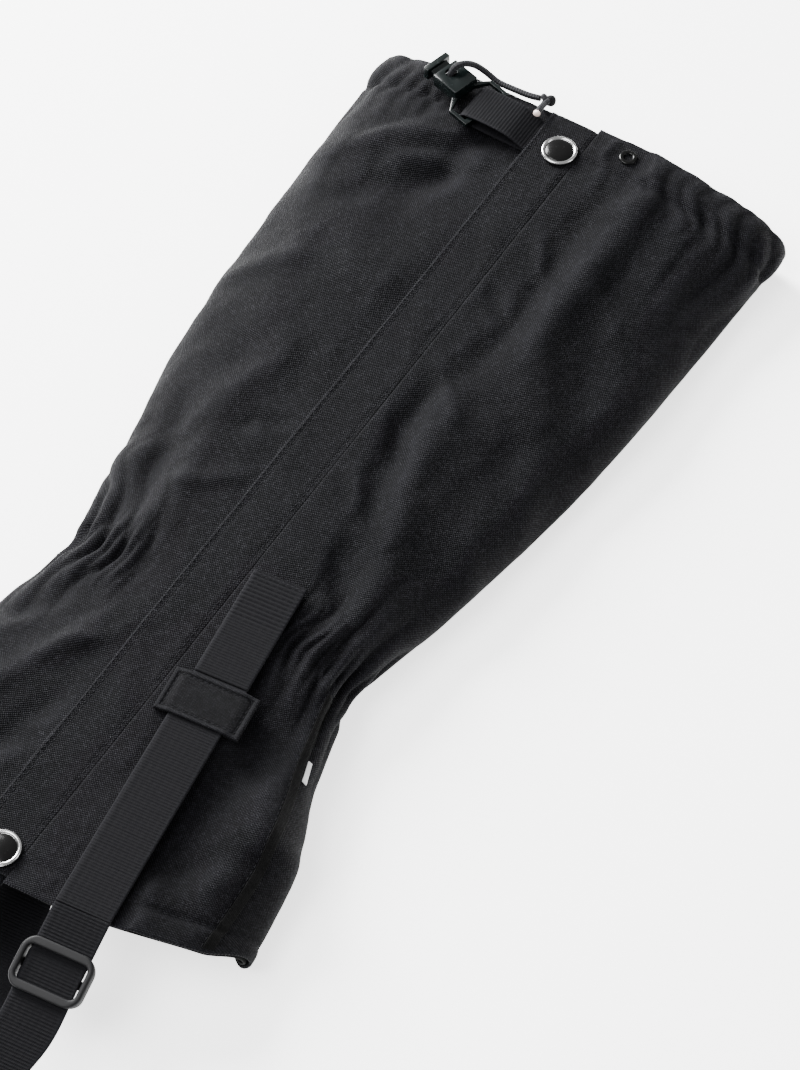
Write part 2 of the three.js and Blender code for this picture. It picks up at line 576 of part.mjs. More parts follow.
// The loose end of the drawcord: out of the left casing, up through the lock, along the hem to its knot.
const throughLock = (along, height) => [
  LOCK_BAR_X + along * Math.cos(LOCK_ANGLE), tabY + along * Math.sin(LOCK_ANGLE), lockLow + height];
const onPanel = (x, y, lift = 0) => [x, y, upperZ(x, TOP_Y, 0, CREST) + GAP + CORD_D / 2 + lift];
const [holeX, holeY, lockTop] = throughLock(cordHoleAt, LOCK_THICK);
const knotY = TOP_Y + 2.5;
const looseRoute = [
  onPanel(mouthX - 7, eyeletY + 1),
  onPanel(mouthX - 1, eyeletY - 0.5, 0.2),
  onPanel(holeX - 5, holeY + 1.2, 0.2),
  [holeX - 1.1, holeY + 0.2, lockLow - 1.5],
  [holeX, holeY, lockLow + 1.5],
  [holeX, holeY, lockTop - 0.5],
  [holeX + 1.2, holeY + 2, lockTop + 3],
  [holeX + 3.6, holeY + 5.4, lockTop + 3.2],
  [holeX + 7, holeY + 9.8, lockTop],
  [holeX + 11.5, knotY - 1.9, lockTop - 4.6],
  onPanel(holeX + 18, knotY - 1.6, 0.9),
  onPanel(holeX + 26, knotY - 1.2, 0.3),
  onPanel(KNOT_X - 9, knotY - 0.8, 0.6),
  onPanel(KNOT_X - KNOT_R - GAP, knotY, 1.2),
];
add('drawcord_loose', cord(looseRoute, CORD_D, 40), 'cord');
const [, , knotZ] = onPanel(KNOT_X, knotY, KNOT_R - CORD_D / 2);
add('drawcord_knot', new THREE.SphereGeometry(KNOT_R, 10, 8).translate(KNOT_X, knotY, knotZ), 'cord');
const tipRoute = [
  [KNOT_X + 0.4, knotY - KNOT_R - GAP, knotZ + 0.8],
  [KNOT_X + 0.9, knotY - KNOT_R - 4, knotZ + 2.8],
  [KNOT_X + 1.4, knotY - KNOT_R - 9, knotZ + 3.6],
];
add('drawcord_end', cord(tipRoute, CORD_D, 5), 'cord');

// ---- boot strap: its own axis runs down and outwards from the keeper ----------------------------
const strap = new THREE.Group();
strap.position.set(STRAP_X, STRAP_Y, 0);
strap.rotation.z = STRAP_ANGLE;
gaiter.add(strap);

const keeperEnd = KEEPER_LENGTH / 2;
const keeperFoot = FRONT_Z + GAP;
const slotTop = STRAP_Z + STRAP_THICK / 2 + GAP;
const slotHalf = STRAP_WIDTH / 2 + 2 * GAP;
const keeperShape = new THREE.Shape([
  [-KEEPER_WIDTH / 2, keeperFoot], [-slotHalf, keeperFoot], [-slotHalf, slotTop], [slotHalf, slotTop],
  [slotHalf, keeperFoot], [KEEPER_WIDTH / 2, keeperFoot],
  [KEEPER_WIDTH / 2, slotTop + KEEPER_THICK], [-KEEPER_WIDTH / 2, slotTop + KEEPER_THICK],
].map((point) => new THREE.Vector2(...point)));
const keeper = extruded(keeperShape, KEEPER_LENGTH).rotateX(Math.PI / 2).translate(0, keeperEnd, 0);
add('strap_keeper', keeper, 'fabric', strap);

const tailStart = keeperEnd + 1;
add('strap_tail', band([
  [0, tailStart + GAP, STRAP_Z],
  [0, tailStart + TAIL_LENGTH / 2, STRAP_Z],
  [0, tailStart + TAIL_LENGTH, STRAP_Z],
], STRAP_WIDTH, STRAP_THICK), 'webbing', strap);

const hemX = STRAP_X + (STRAP_Y - HEM_Y) * Math.tan(STRAP_ANGLE);
const hemReach = (risen(hemX, HEM_Y) - STRAP_Y) / Math.cos(STRAP_ANGLE);
add('strap_upper', band([
  [0, tailStart, STRAP_Z],
  [0, hemReach / 2, STRAP_Z],
  [0, hemReach, STRAP_Z],
], STRAP_WIDTH, STRAP_THICK), 'webbing', strap);

// The loop slopes down to the surface, turns over itself and comes back to the shorter back hem.
const loopTop = hemReach - 2 * GAP;
const backReach = hemReach + BACK_HEM_RISE;
const floorZ = GAP + STRAP_THICK / 2;
const turnY = hemReach - LOOP_DROP + LOOP_RADIUS;
const turnZ = floorZ + LOOP_RADIUS;
const slope = Math.atan2(STRAP_Z - turnZ - LOOP_RADIUS, loopTop - turnY);
const slopeZ = (y) => STRAP_Z - (loopTop - y) * Math.tan(slope);
const straightEnd = hemReach - SLIDER_DISTANCE - SLIDER_LENGTH / 2 - SLIDER_PLAY - 2;
const anchorZ = FACING_INSET + FACING_THICK + GAP + STRAP_THICK / 2;
const loopRoute = [
  [0, loopTop, STRAP_Z],
  [0, (loopTop + straightEnd) / 2, slopeZ((loopTop + straightEnd) / 2)],
  [0, straightEnd, slopeZ(straightEnd)],
  [-LOOP_SHIFT * 0.12, straightEnd * 0.6 + turnY * 0.4, slopeZ(straightEnd * 0.6 + turnY * 0.4)],
];
for (let k = 0; k <= 6; k += 1) {
  const angle = Math.PI / 2 + k / 6 * Math.PI;
  loopRoute.push([-LOOP_SHIFT * (0.32 + 0.04 * k), turnY + LOOP_RADIUS * Math.cos(angle),
    turnZ + LOOP_RADIUS * Math.sin(angle)]);
}
loopRoute.push([-LOOP_SHIFT * 0.8, (turnY + backReach) / 2, floorZ]);
loopRoute.push([-LOOP_SHIFT * 0.96, backReach - 16, floorZ]);
loopRoute.push([-LOOP_SHIFT, backReach - 5, anchorZ]);
add('boot_strap', band(loopRoute, STRAP_WIDTH, STRAP_THICK), 'webbing', strap);
add('strap_anchor', band([
  [-LOOP_SHIFT, backReach - 5 + 2 * GAP, anchorZ],
  [-LOOP_SHIFT, backReach + ANCHOR_LENGTH, anchorZ],
], STRAP_WIDTH, STRAP_THICK), 'webbing', strap);

// The slider's end bars pass over the webbing and its middle bar under it.
const slider = new THREE.Group();
slider.position.set(0, hemReach - SLIDER_DISTANCE, slopeZ(hemReach - SLIDER_DISTANCE));
slider.rotation.x = slope;
strap.add(slider);
const barLow = STRAP_THICK / 2 + GAP;
const railHeight = 2 * (barLow + SLIDER_BAR_THICK);
const railX = (SLIDER_WIDTH - SLIDER_RAIL) / 2;
const barY = (SLIDER_LENGTH - SLIDER_BAR) / 2;
const barZ = barLow + SLIDER_BAR_THICK / 2;
const sliderBar = (y, z) => box(SLIDER_WIDTH - SLIDER_RAIL, SLIDER_BAR, SLIDER_BAR_THICK, 0, y, z);
add('strap_slider', join(
  box(SLIDER_RAIL, SLIDER_LENGTH, railHeight, -railX, 0, 0),
  box(SLIDER_RAIL, SLIDER_LENGTH, railHeight, railX, 0, 0),
  sliderBar(barY, barZ), sliderBar(-barY, barZ), sliderBar(0, -barZ),
), 'plastic', slider);

// ---- lace hook on a tab inside the front hem ----------------------------------------------------
const hookTabZ = CREST - WALL - 2 * GAP - SNAP_PLATE - FACING_THICK / 2 - GAP;
const hookTabLow = HEM_Y - 3;
add('hook_tab', band([
  [HOOK_X, hookTabLow, hookTabZ],
  [HOOK_X, hookTabLow + HOOK_TAB_LENGTH, hookTabZ],
], HOOK_TAB_WIDTH, FACING_THICK), 'webbing');

const hookTop = hookTabZ + HOOK_METAL / 2;
const hookOuter = HOOK_MOUTH / 2 + HOOK_METAL;
const hookBendY = hookTabLow - HOOK_LENGTH + hookOuter;
const hookBendZ = hookTop - hookOuter;
const hookShape = new THREE.Shape();
hookShape.moveTo(hookTabLow - 2 * GAP, hookTop);
hookShape.lineTo(hookBendY, hookTop);
hookShape.absarc(hookBendY, hookBendZ, hookOuter, Math.PI / 2, 1.5 * Math.PI, false);
hookShape.lineTo(hookBendY + HOOK_RETURN, hookBendZ - hookOuter);
hookShape.lineTo(hookBendY + HOOK_RETURN, hookBendZ - HOOK_MOUTH / 2);
hookShape.absarc(hookBendY, hookBendZ, HOOK_MOUTH / 2, 1.5 * Math.PI, Math.PI / 2, true);
hookShape.lineTo(hookTabLow - 2 * GAP, hookTop - HOOK_METAL);
const sideways = new THREE.Matrix4().makeBasis(
  new THREE.Vector3(0, 1, 0), new THREE.Vector3(0, 0, 1), new THREE.Vector3(1, 0, 0));
const hook = extruded(hookShape, HOOK_WIDTH).applyMatrix4(sideways).translate(HOOK_X - HOOK_WIDTH / 2, 0, 0);
add('lace_hook', hook, 'steel');

// ---- heel seam tape and reflective tab on the right panel ---------------------------------------
// A point on the panel's outer face, by its share of the half width, lifted off by a distance.
function onRight(share, y, lift) {
  const x = (halfWidth(y) + lift) * share;
  const z = EDGE_HEIGHT + (FRONT_Z + lift - EDGE_HEIGHT) * Math.sqrt(1 - share ** 4);
  return [x, risen(x, y), z];
}

function trimPlate(low, high, sharesAt) {
  const levels = ROW_LEVELS.filter((y) => y >= low - 1e-6 && y <= high + 1e-6);
  const grid = (lift) => levels.map((y) => sharesAt(y).map((share) => onRight(share, y, lift)));
  return plate(grid(GAP + TRIM_THICK), grid(GAP));
}

const seamShare = (y) => SEAM_AT_HEM + (SEAM_AT_ANKLE - SEAM_AT_HEM) * (1 - y / HEM_Y);
add('heel_seam_tape', trimPlate(HEM_Y, -HALF_CHANNEL,
  (y) => [-1, 0, 1].map((k) => seamShare(y) + k * SEAM_HALF_SHARE)), 'lining');
add('reflective_tab', trimPlate(REFLECTIVE_LOW, INSTEP_Y,
  (y) => [1.3, 2.2].map((k) => seamShare(y) + k * SEAM_HALF_SHARE)), 'trim');

export default gaiter;
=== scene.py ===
# %% [markdown]
# A hiking gaiter lies closed on its back: a woven sleeve for boot and shin, with a long front
# flap, two snaps, a drawcord at the calf and a strap that runs under the boot. The hard model
# gives every size and place. It could be dressed with finishes alone, but its cloth is smooth and
# stiff, so it is loaded first, stays as it is, and the soft pieces are built anew round it.

# %% Load the model that gives the sizes
import json
import math

import bmesh
import bpy
import numpy as np
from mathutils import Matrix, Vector


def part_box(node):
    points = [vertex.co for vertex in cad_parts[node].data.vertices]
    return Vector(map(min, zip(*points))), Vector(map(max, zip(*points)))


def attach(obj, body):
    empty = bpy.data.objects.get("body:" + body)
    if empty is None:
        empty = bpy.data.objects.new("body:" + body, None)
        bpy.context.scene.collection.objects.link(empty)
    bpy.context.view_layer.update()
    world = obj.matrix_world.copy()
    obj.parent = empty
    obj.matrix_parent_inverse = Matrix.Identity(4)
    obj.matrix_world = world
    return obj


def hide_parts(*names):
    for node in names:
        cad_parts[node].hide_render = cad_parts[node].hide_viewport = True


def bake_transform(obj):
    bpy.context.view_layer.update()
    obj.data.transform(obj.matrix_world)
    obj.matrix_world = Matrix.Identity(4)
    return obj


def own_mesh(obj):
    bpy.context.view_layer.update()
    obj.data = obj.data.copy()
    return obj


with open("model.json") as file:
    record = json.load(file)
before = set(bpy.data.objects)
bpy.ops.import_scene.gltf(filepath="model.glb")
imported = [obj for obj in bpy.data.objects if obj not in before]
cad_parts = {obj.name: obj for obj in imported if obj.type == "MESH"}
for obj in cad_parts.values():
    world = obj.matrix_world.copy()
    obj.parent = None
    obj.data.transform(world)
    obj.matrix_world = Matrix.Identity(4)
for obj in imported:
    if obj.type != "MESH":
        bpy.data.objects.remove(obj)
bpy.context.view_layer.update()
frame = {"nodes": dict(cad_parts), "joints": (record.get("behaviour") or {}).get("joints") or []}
MM = 0.001

# %% [markdown]
# The camera comes early, because the loose cord has to lie inside what it sees. It looks down at
# the closure from the outer side. A short lens close by would spread the near hem, so a long lens
# from further away keeps the sleeve's edges nearly parallel.

# %% Camera
CAMERA_AZIMUTH = math.radians(32.6)
CAMERA_ELEVATION = math.radians(56)
CAMERA_DISTANCE = 1.5
CAMERA_LENS = 115.07
CAMERA_TARGET = Vector((0.0390, 0.0896, 0.0))


def direction(azimuth, elevation):
    """Unit vector from the object towards a viewer at that azimuth and elevation."""
    return Vector((
        math.sin(azimuth) * math.cos(elevation),
        -math.cos(azimuth) * math.cos(elevation),
        math.sin(elevation),
    ))


def link(item):
    bpy.context.scene.collection.objects.link(item)
    return item


camera = link(bpy.data.objects.new("studio_camera", bpy.data.cameras.new("studio_camera")))
camera.data.lens = CAMERA_LENS
camera.location = CAMERA_TARGET + direction(CAMERA_AZIMUTH, CAMERA_ELEVATION) * CAMERA_DISTANCE
camera.rotation_euler = (CAMERA_TARGET - camera.location).to_track_quat("-Z", "Y").to_euler()
bpy.context.scene.camera = camera
print("camera at", [round(c, 3) for c in camera.location])

# %% [markdown]
# Every finish is a small network of nodes. It could be wired by hand, node by node, but a network
# is easier to read as arithmetic. So one class wraps a socket and lets Python's own signs add the
# Math nodes, and one method adds any other node.


# %% Arithmetic on sockets
class Value:
    """A number that varies over a surface. Sums with it add Math nodes to its finish."""

    def __init__(self, finish, socket):
        self.finish, self.socket = finish, socket

    def math(self, operation, *others):
        node = self.finish.tree.nodes.new("ShaderNodeMath")
        node.operation = operation
        for place, item in enumerate(others):
            self.finish.feed(node.inputs[place], item)
        return Value(self.finish, node.outputs[0])

    def __add__(self, other):
        return self.math("ADD", self, other)

    def __sub__(self, other):
        return self.math("SUBTRACT", self, other)

    def __rsub__(self, other):
        return self.math("SUBTRACT", other, self)

    def __mul__(self, other):
        return self.math("MULTIPLY", self, other)

    __radd__ = __add__
    __rmul__ = __mul__

    def wave(self, period, turn=0.0):
        """A sine of the value, once per period."""
        return (self * (2 * math.pi / period) + turn).math_of("SINE")

    def math_of(self, operation):
        return self.math(operation, self)

    def steps(self, low, high):
        """0 below low, 1 above high and smooth in between."""
        node = self.finish.add("ShaderNodeMapRange", {"interpolation_type": "SMOOTHSTEP"}, {
            "Value": self, "From Min": low, "From Max": high})
        return Value(self.finish, node.outputs["Result"])


class Finish:
    """A material built from one Principled shader."""

    def __init__(self, name, **plain):
        self.material = bpy.data.materials.new(name)
        self.material.use_nodes = True
        self.tree = self.material.node_tree
        self.shader = self.tree.nodes["Principled BSDF"]
        for socket, value in plain.items():
            self.shader.inputs[socket.replace("_", " ")].default_value = value

    def feed(self, socket, item):
        if isinstance(item, Value):
            self.tree.links.new(item.socket, socket)
        elif isinstance(item, bpy.types.NodeSocket):
            self.tree.links.new(item, socket)
        else:
            socket.default_value = item

    def add(self, kind, settings=None, sockets=None):
        """Any node: its settings first, then the values or links of its sockets."""
        node = self.tree.nodes.new(kind)
        for key, value in (settings or {}).items():
            setattr(node, key, value)
        for key, item in (sockets or {}).items():
            self.feed(node.inputs[key], item)
        return node

    def place(self):
        """Object coordinates in metres."""
        return self.add("ShaderNodeTexCoord").outputs["Object"]

    def threads(self):
        """The piece's own map: millimetres across and along the cloth."""
        uv = self.add("ShaderNodeUVMap", {"uv_map": "threads"}).outputs["UV"]
        parts = self.add("ShaderNodeSeparateXYZ", None, {0: uv})
        return Value(self, parts.outputs[0]), Value(self, parts.outputs[1])

    def noise(self, scale, detail=2.0, where=None):
        node = self.add("ShaderNodeTexNoise", None, {
            "Vector": where or self.place(), "Scale": scale, "Detail": detail})
        return Value(self, node.outputs["Fac"])

    def painted(self, name):
        """A value painted on the mesh, such as wear."""
        node = self.add("ShaderNodeAttribute", {"attribute_name": name})
        return Value(self, node.outputs["Fac"])

    def blend(self, share, first, second):
        """A colour between two others."""
        node = self.add("ShaderNodeMix", {"data_type": "RGBA"}, {"Factor": share})
        self.feed(node.inputs[6], first)
        self.feed(node.inputs[7], second)
        return node.outputs[2]

    def paint(self, colour, roughness):
        self.feed(self.shader.inputs["Base Color"], colour)
        self.feed(self.shader.inputs["Roughness"], roughness)

    def relief(self, height, depth_mm):
        """Bumps of that depth where the height goes from 0 to 1."""
        bump = self.add("ShaderNodeBump", None, {
            "Height": height, "Distance": depth_mm * MM, "Strength": 1.0})
        self.feed(self.shader.inputs["Normal"], bump.outputs["Normal"])


def grey(level, blue=1.0):
    """A grey of that brightness, with its blue turned up or down."""
    return (level, level, level * blue, 1.0)


print("a bluish grey:", grey(0.5, 1.2))

# %% [markdown]
# The sleeve is a tight weave of thick and thin yarns. Up close it shows rows of small light
# flecks where the thick yarn passes over. Real yarns in the mesh would take millions of faces, so
# the weave is in the finish and only folds and gathers are in the mesh. Two crossed sines give
# the crossings, and a fine noise drops some flecks, so the rows don't look printed. Rubbed places
# are a little paler.


# %% Woven cloths
def woven(name, dark, light, yarn, fleck_share, relief, sheen):
    f = Finish(name, Sheen_Weight=sheen, Sheen_Roughness=0.45, Specular_IOR_Level=0.04)
    across, along = f.threads()
    checks = across.wave(yarn * 2) * along.wave(yarn * 2)
    broken = f.noise(1100, 1.0)
    slubs = f.noise(430, 2.0)
    flecks = (checks * 0.34 + broken + slubs * 0.6).steps(0.72, 1.15)
    worn = f.painted("worn")
    clouds = f.noise(26, 3.0)
    share = flecks * fleck_share + worn * 0.35 + clouds * 0.22
    f.paint(colour=f.blend(share, dark, light), roughness=0.72 - flecks * 0.2 - worn * 0.08)
    f.relief(checks * 0.35 + flecks * 0.5 + broken * 0.15, relief)
    return f.material


sleeve_cloth = woven("sleeve_cloth", grey(0.0006, 1.3), grey(0.0082, 1.25), yarn=0.62,
                     fleck_share=0.75, relief=0.30, sheen=0.008)
lining_cloth = woven("lining_cloth", grey(0.001), grey(0.005), yarn=0.45,
                     fleck_share=0.35, relief=0.12, sheen=0.006)
keeper_cloth = woven("keeper_cloth", grey(0.0008, 1.2), grey(0.0085, 1.2), yarn=0.45,
                     fleck_share=0.6, relief=0.2, sheen=0.008)
print("woven cloths: sleeve, lining, keeper")

# %% [markdown]
# Webbing is woven with ribs across it. Bump alone would leave the band's edge straight, so the
# ribs are in the mesh. The finish adds what is too fine for faces, the single yarns: a slanted
# pattern that changes its lean every few millimetres across the band. The cord's braid is made
# the same way, from two sets of strands that cross.


# %% Webbing, cord and thread
YARN_PITCH = 0.62
LEAN_WIDTH = 3.1


def webbing_finish(name, dark, light):
    f = Finish(name, Sheen_Weight=0.008, Sheen_Roughness=0.4, Specular_IOR_Level=0.05)
    across, along = f.threads()
    lean = (across * (1 / LEAN_WIDTH)).math_of("FRACT") - 0.5
    slant = lean.math_of("ABSOLUTE") * 2.2
    yarns = (along + slant).wave(YARN_PITCH) * 0.5 + 0.5
    fibres = f.noise(1400, 1.0)
    worn = f.painted("worn")
    share = yarns * 0.35 + fibres * 0.3 + worn * 0.5
    f.paint(colour=f.blend(share, dark, light), roughness=0.82 - yarns * 0.2)
    f.relief(yarns * 0.7 + fibres * 0.3, 0.12)
    return f.material


strap_webbing = webbing_finish("strap_webbing", grey(0.0010, 1.25), grey(0.0088, 1.2))


def braid_finish(name, dark, light, strands, lay):
    f = Finish(name, Specular_IOR_Level=0.15, Sheen_Weight=0.02)
    across, along = f.threads()
    left = (across * strands + along * (1 / lay)).wave(1.0)
    right = (across * strands - along * (1 / lay)).wave(1.0)
    crossing = (left * right) * 0.5 + 0.5
    fuzz = f.noise(1500, 1.0)
    f.paint(colour=f.blend(crossing * 0.7 + fuzz * 0.25, dark, light),
            roughness=0.8 - crossing * 0.2)
    f.relief(crossing, 0.25)
    return f.material


cord_braid = braid_finish("cord_braid", grey(0.002, 1.2), grey(0.016, 1.2), strands=4, lay=2.6)

f = Finish("sewing_thread", Specular_IOR_Level=0.08)
twist = f.noise(2200, 1.0)
f.paint(colour=f.blend(twist, grey(0.0025, 1.2), grey(0.012, 1.2)),
        roughness=0.6 + twist * 0.2)
f.relief(twist, 0.05)
sewing_thread = f.material

f = Finish("melted_tip", Specular_IOR_Level=0.5)
bubbles = f.noise(700, 2.0)
f.paint(colour=f.blend(bubbles, (0.62, 0.42, 0.36, 1), (0.86, 0.78, 0.72, 1)),
        roughness=0.35 + bubbles * 0.2)
f.relief(bubbles, 0.2)
melted_tip = f.material
print("webbing, braid, thread and melted tip")

# %% [markdown]
# The hard pieces each have a grain at their own scale: orange peel on the enamelled snaps, fine
# sand on the moulded slider, smooth flow marks on the glossy cord lock, brushing on the steel.
# Each could have a network of its own, but they differ only in scale and gloss, so one function
# makes them all from a grain, smudges and scuffs.


# %% Metals and plastics
def hard_finish(name, dark, light, rough, spread, grain, depth, **plain):
    f = Finish(name, **plain)
    fine = f.noise(grain, 2.0)
    smudge = f.noise(90, 3.0)
    scuffs = f.noise(420, 4.0).steps(0.62, 0.72)
    f.paint(colour=f.blend(fine * 0.4 + scuffs * 0.35 + smudge * 0.2, dark, light),
            roughness=rough + smudge * spread + scuffs * 0.12)
    f.relief(fine, depth)
    return f.material


snap_enamel = hard_finish(
    "snap_enamel", grey(0.001), grey(0.004), rough=0.16, spread=0.14, grain=500, depth=0.01,
    Coat_Weight=0.08, Coat_Roughness=0.1, Specular_IOR_Level=0.12)
# The rim's bright metal colour is a painted reflection: the rolled rim is black like the dome, and
# its bright ring is light reflected round the roll.
snap_rim_painted_reflection = hard_finish(
    "snap_rim_painted_reflection", grey(0.35), grey(0.7), rough=0.14, spread=0.15, grain=700, depth=0.02, Metallic=1.0)
snap_inner = hard_finish(
    "snap_inner", grey(0.05), grey(0.16), rough=0.22, spread=0.2, grain=900, depth=0.02,
    Metallic=1.0)
slider_plastic = hard_finish(
    "slider_plastic", grey(0.0022, 1.15), grey(0.007, 1.15), rough=0.42, spread=0.2, grain=1600,
    depth=0.05, Specular_IOR_Level=0.14)
lock_plastic = hard_finish(
    "lock_plastic", (0.0012, 0.0019, 0.0019, 1), (0.005, 0.0085, 0.0085, 1), rough=0.14,
    spread=0.16, grain=300, depth=0.02, Coat_Weight=0.12, Coat_Roughness=0.1,
    Specular_IOR_Level=0.25)
bare_steel = hard_finish(
    "bare_steel", grey(0.28), grey(0.5), rough=0.25, spread=0.2, grain=1300, depth=0.02,
    Metallic=1.0)
painted_steel = hard_finish(
    "painted_steel", grey(0.004), grey(0.02), rough=0.35, spread=0.2, grain=900, depth=0.03,
    Specular_IOR_Level=0.25)
print("metals and plastics: snaps, slider, lock, spring and hook")

# %% [markdown]
# Three finishes are left. The label's film is packed with tiny glass beads, for which a cell
# pattern is nearer than noise. The pile tape is a felt of loops, too fine to grow as hair here,
# and the elastic has raised ribs along it.

# %% Film, pile and elastic
f = Finish("reflective_film", Specular_IOR_Level=0.6)
cells = f.add("ShaderNodeTexVoronoi", None, {"Vector": f.place(), "Scale": 1500})
beads = Value(f, cells.outputs["Distance"])
soil = f.noise(160, 3.0)
f.paint(colour=f.blend(soil * 0.5 + beads * 0.3, grey(0.62), grey(0.32)),
        roughness=0.25 + soil * 0.3)
f.relief(beads, 0.05)
reflective_film = f.material

f = Finish("pile_tape", Specular_IOR_Level=0.05, Sheen_Weight=0.03)
pile = f.noise(1900, 2.0)
f.paint(colour=f.blend(pile.steps(0.35, 0.7), grey(0.0012), grey(0.009)),
        roughness=0.85 + pile * 0.1)
f.relief(pile, 0.4)
pile_tape = f.material

f = Finish("ribbed_elastic", Specular_IOR_Level=0.25)
across, along = f.threads()
ribs = across.wave(1.3) * 0.5 + 0.5
fuzz = f.noise(1500, 1.0)
f.paint(colour=f.blend(ribs * 0.5 + fuzz * 0.3, grey(0.003), grey(0.014)),
        roughness=0.8 - ribs * 0.1)
f.relief(ribs, 0.3)
ribbed_elastic = f.material
print("finishes:", len(bpy.data.materials))

# %% [markdown]
# Most soft pieces are grids of points. A grid could be shaped with modifiers, but then its
# threads would not know where they run. These helpers turn points into a mesh with its map of
# threads, smooth a route through a few points, and lay a tube along it.


# %% Mesh helpers
def make(name, points, faces, finish, uv=None, worn=None):
    """A piece from points in millimetres, its faces, and a map value and wear for each point."""
    mesh = bpy.data.meshes.new(name)
    mesh.from_pydata((np.asarray(points, float) * MM).tolist(), [], [tuple(f) for f in faces])
    mesh.materials.append(finish)
    if uv is not None:
        corners = np.zeros(len(mesh.loops), np.int32)
        mesh.loops.foreach_get("vertex_index", corners)
        layer = mesh.uv_layers.new(name="threads")
        layer.data.foreach_set("uv", np.asarray(uv, np.float32)[corners].ravel())
    if worn is None:
        worn = np.zeros(len(mesh.vertices))
    wear = mesh.attributes.new("worn", "FLOAT", "POINT")
    wear.data.foreach_set("value", np.asarray(worn, np.float32))
    mesh.shade_smooth()
    mesh.update()
    return link(bpy.data.objects.new(name, mesh))


def grid_faces(rows, columns, wrap=False):
    """Quads of a grid of points; wrap joins the last row to the first."""
    i = np.arange(rows if wrap else rows - 1)[:, None] * columns
    below = (i + columns) % (rows * columns)
    j = np.arange(columns - 1)[None, :]
    quads = np.stack([i + j, i + j + 1, below + j + 1, below + j], -1)
    return quads.reshape(-1, 4)


def ring_faces(rings, sides, closed=False, start=0):
    """Quads between rings of points; closed joins the last ring to the first."""
    faces = []
    for i in range(rings if closed else rings - 1):
        here, there = start + i * sides, start + (i + 1) % rings * sides
        for j in range(sides):
            k = (j + 1) % sides
            faces.append((here + j, here + k, there + k, there + j))
    return faces


def outward(item):
    """Turns every face of a closed mesh to the outside."""
    work = bmesh.new()
    work.from_mesh(item.data)
    bmesh.ops.recalc_face_normals(work, faces=work.faces)
    work.to_mesh(item.data)
    work.free()
    return item


def smooth_route(points, step):
    """A smooth line through the points (centripetal), with a point about every step."""
    p = [np.asarray(q, float) for q in points]
    p = [2 * p[0] - p[1], *p, 2 * p[-1] - p[-2]]
    line = []
    for a, b, c, d in zip(p, p[1:], p[2:], p[3:]):
        t = [0.0]
        for q, r in ((a, b), (b, c), (c, d)):
            t.append(t[-1] + max(np.linalg.norm(r - q), 1e-6) ** 0.5)
        for s in np.linspace(t[1], t[2], max(2, int(np.linalg.norm(c - b) / step) + 1))[:-1]:
            ab = (t[1] - s) / (t[1] - t[0]) * a + (s - t[0]) / (t[1] - t[0]) * b
            bc = (t[2] - s) / (t[2] - t[1]) * b + (s - t[1]) / (t[2] - t[1]) * c
            cd = (t[3] - s) / (t[3] - t[2]) * c + (s - t[2]) / (t[3] - t[2]) * d
            abc = (t[2] - s) / (t[2] - t[0]) * ab + (s - t[0]) / (t[2] - t[0]) * bc
            bcd = (t[3] - s) / (t[3] - t[1]) * bc + (s - t[1]) / (t[3] - t[1]) * cd
            line.append((t[2] - s) / (t[2] - t[1]) * abc + (s - t[1]) / (t[2] - t[1]) * bcd)
    line.append(p[-2])
    return np.array(line)


def lengths_along(line):
    return np.concatenate([[0], np.cumsum(np.linalg.norm(np.diff(line, axis=0), axis=1))])


def tube(name, line, radius, finish, sides=16):
    """A round cord along a line, with closed ends and one radius, or one for each point."""
    line = np.asarray(line, float)
    tangent = np.gradient(line, axis=0)
    tangent /= np.linalg.norm(tangent, axis=1)[:, None]
    side = np.cross(tangent[0], (0.3, 0.1, 0.95))
    frames = []
    for t in tangent:
        side = side - t * (side @ t)
        side /= np.linalg.norm(side)
        frames.append((side, np.cross(t, side)))
    radius = np.broadcast_to(radius, len(line))
    turn = np.linspace(0, 2 * math.pi, sides + 1)
    points = np.array([
        [p + r * (math.cos(a) * u + math.sin(a) * v) for a in turn[:-1]]
        for p, r, (u, v) in zip(line, radius, frames)
    ])
    rings = len(line)
    faces = ring_faces(rings, sides)
    flat = points.reshape(-1, 3).tolist() + [line[0].tolist(), line[-1].tolist()]
    first, last = rings * sides, rings * sides + 1
    for j in range(sides):
        k = (j + 1) % sides
        faces.append((first, k, j))
        faces.append((last, (rings - 1) * sides + j, (rings - 1) * sides + k))
    uv = [[j / sides, s] for s in lengths_along(line) for j in range(sides)] + [[0, 0], [0, 0]]
    return outward(make(name, flat, faces, finish, uv))


def keep(item, body, slot, *nodes):
    """A finished piece: it rides on a body and stands for CAD nodes; its slot argument is not used.
    """
    if nodes:
        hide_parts(*nodes)
    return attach(item, body)


print("one ring of a cord has", len(ring_faces(2, 16)), "faces")

# %% [markdown]
# The free end of the drawcord leaves its casing at the left, goes up through the cord lock, over
# the hem and ends in a knot with a melted tip. It could fall into place in a simulation, but a
# limp cord this short has its place between the lock and the hem, so it is laid along one smooth
# route, the one that the hard model keeps clear for it.

# %% The sleeve's measures that the cord needs
EDGE_HEIGHT = 12
CREST = 34
FRONT_Z = 38.3
TOP_Y = 308
TOP_HALF = 109
CORD_R = 1.5
GAP = 0.3


def on_left(x, y, lift=0.0):
    """A cord's centre on the left panel near the top hem."""
    height = EDGE_HEIGHT + (CREST - EDGE_HEIGHT) * math.sqrt(1 - (abs(x) / TOP_HALF) ** 4)
    return (x, y, height + GAP + CORD_R + lift)


print("cord centre at the hem's middle: %.1f mm up" % on_left(0, TOP_Y)[2])

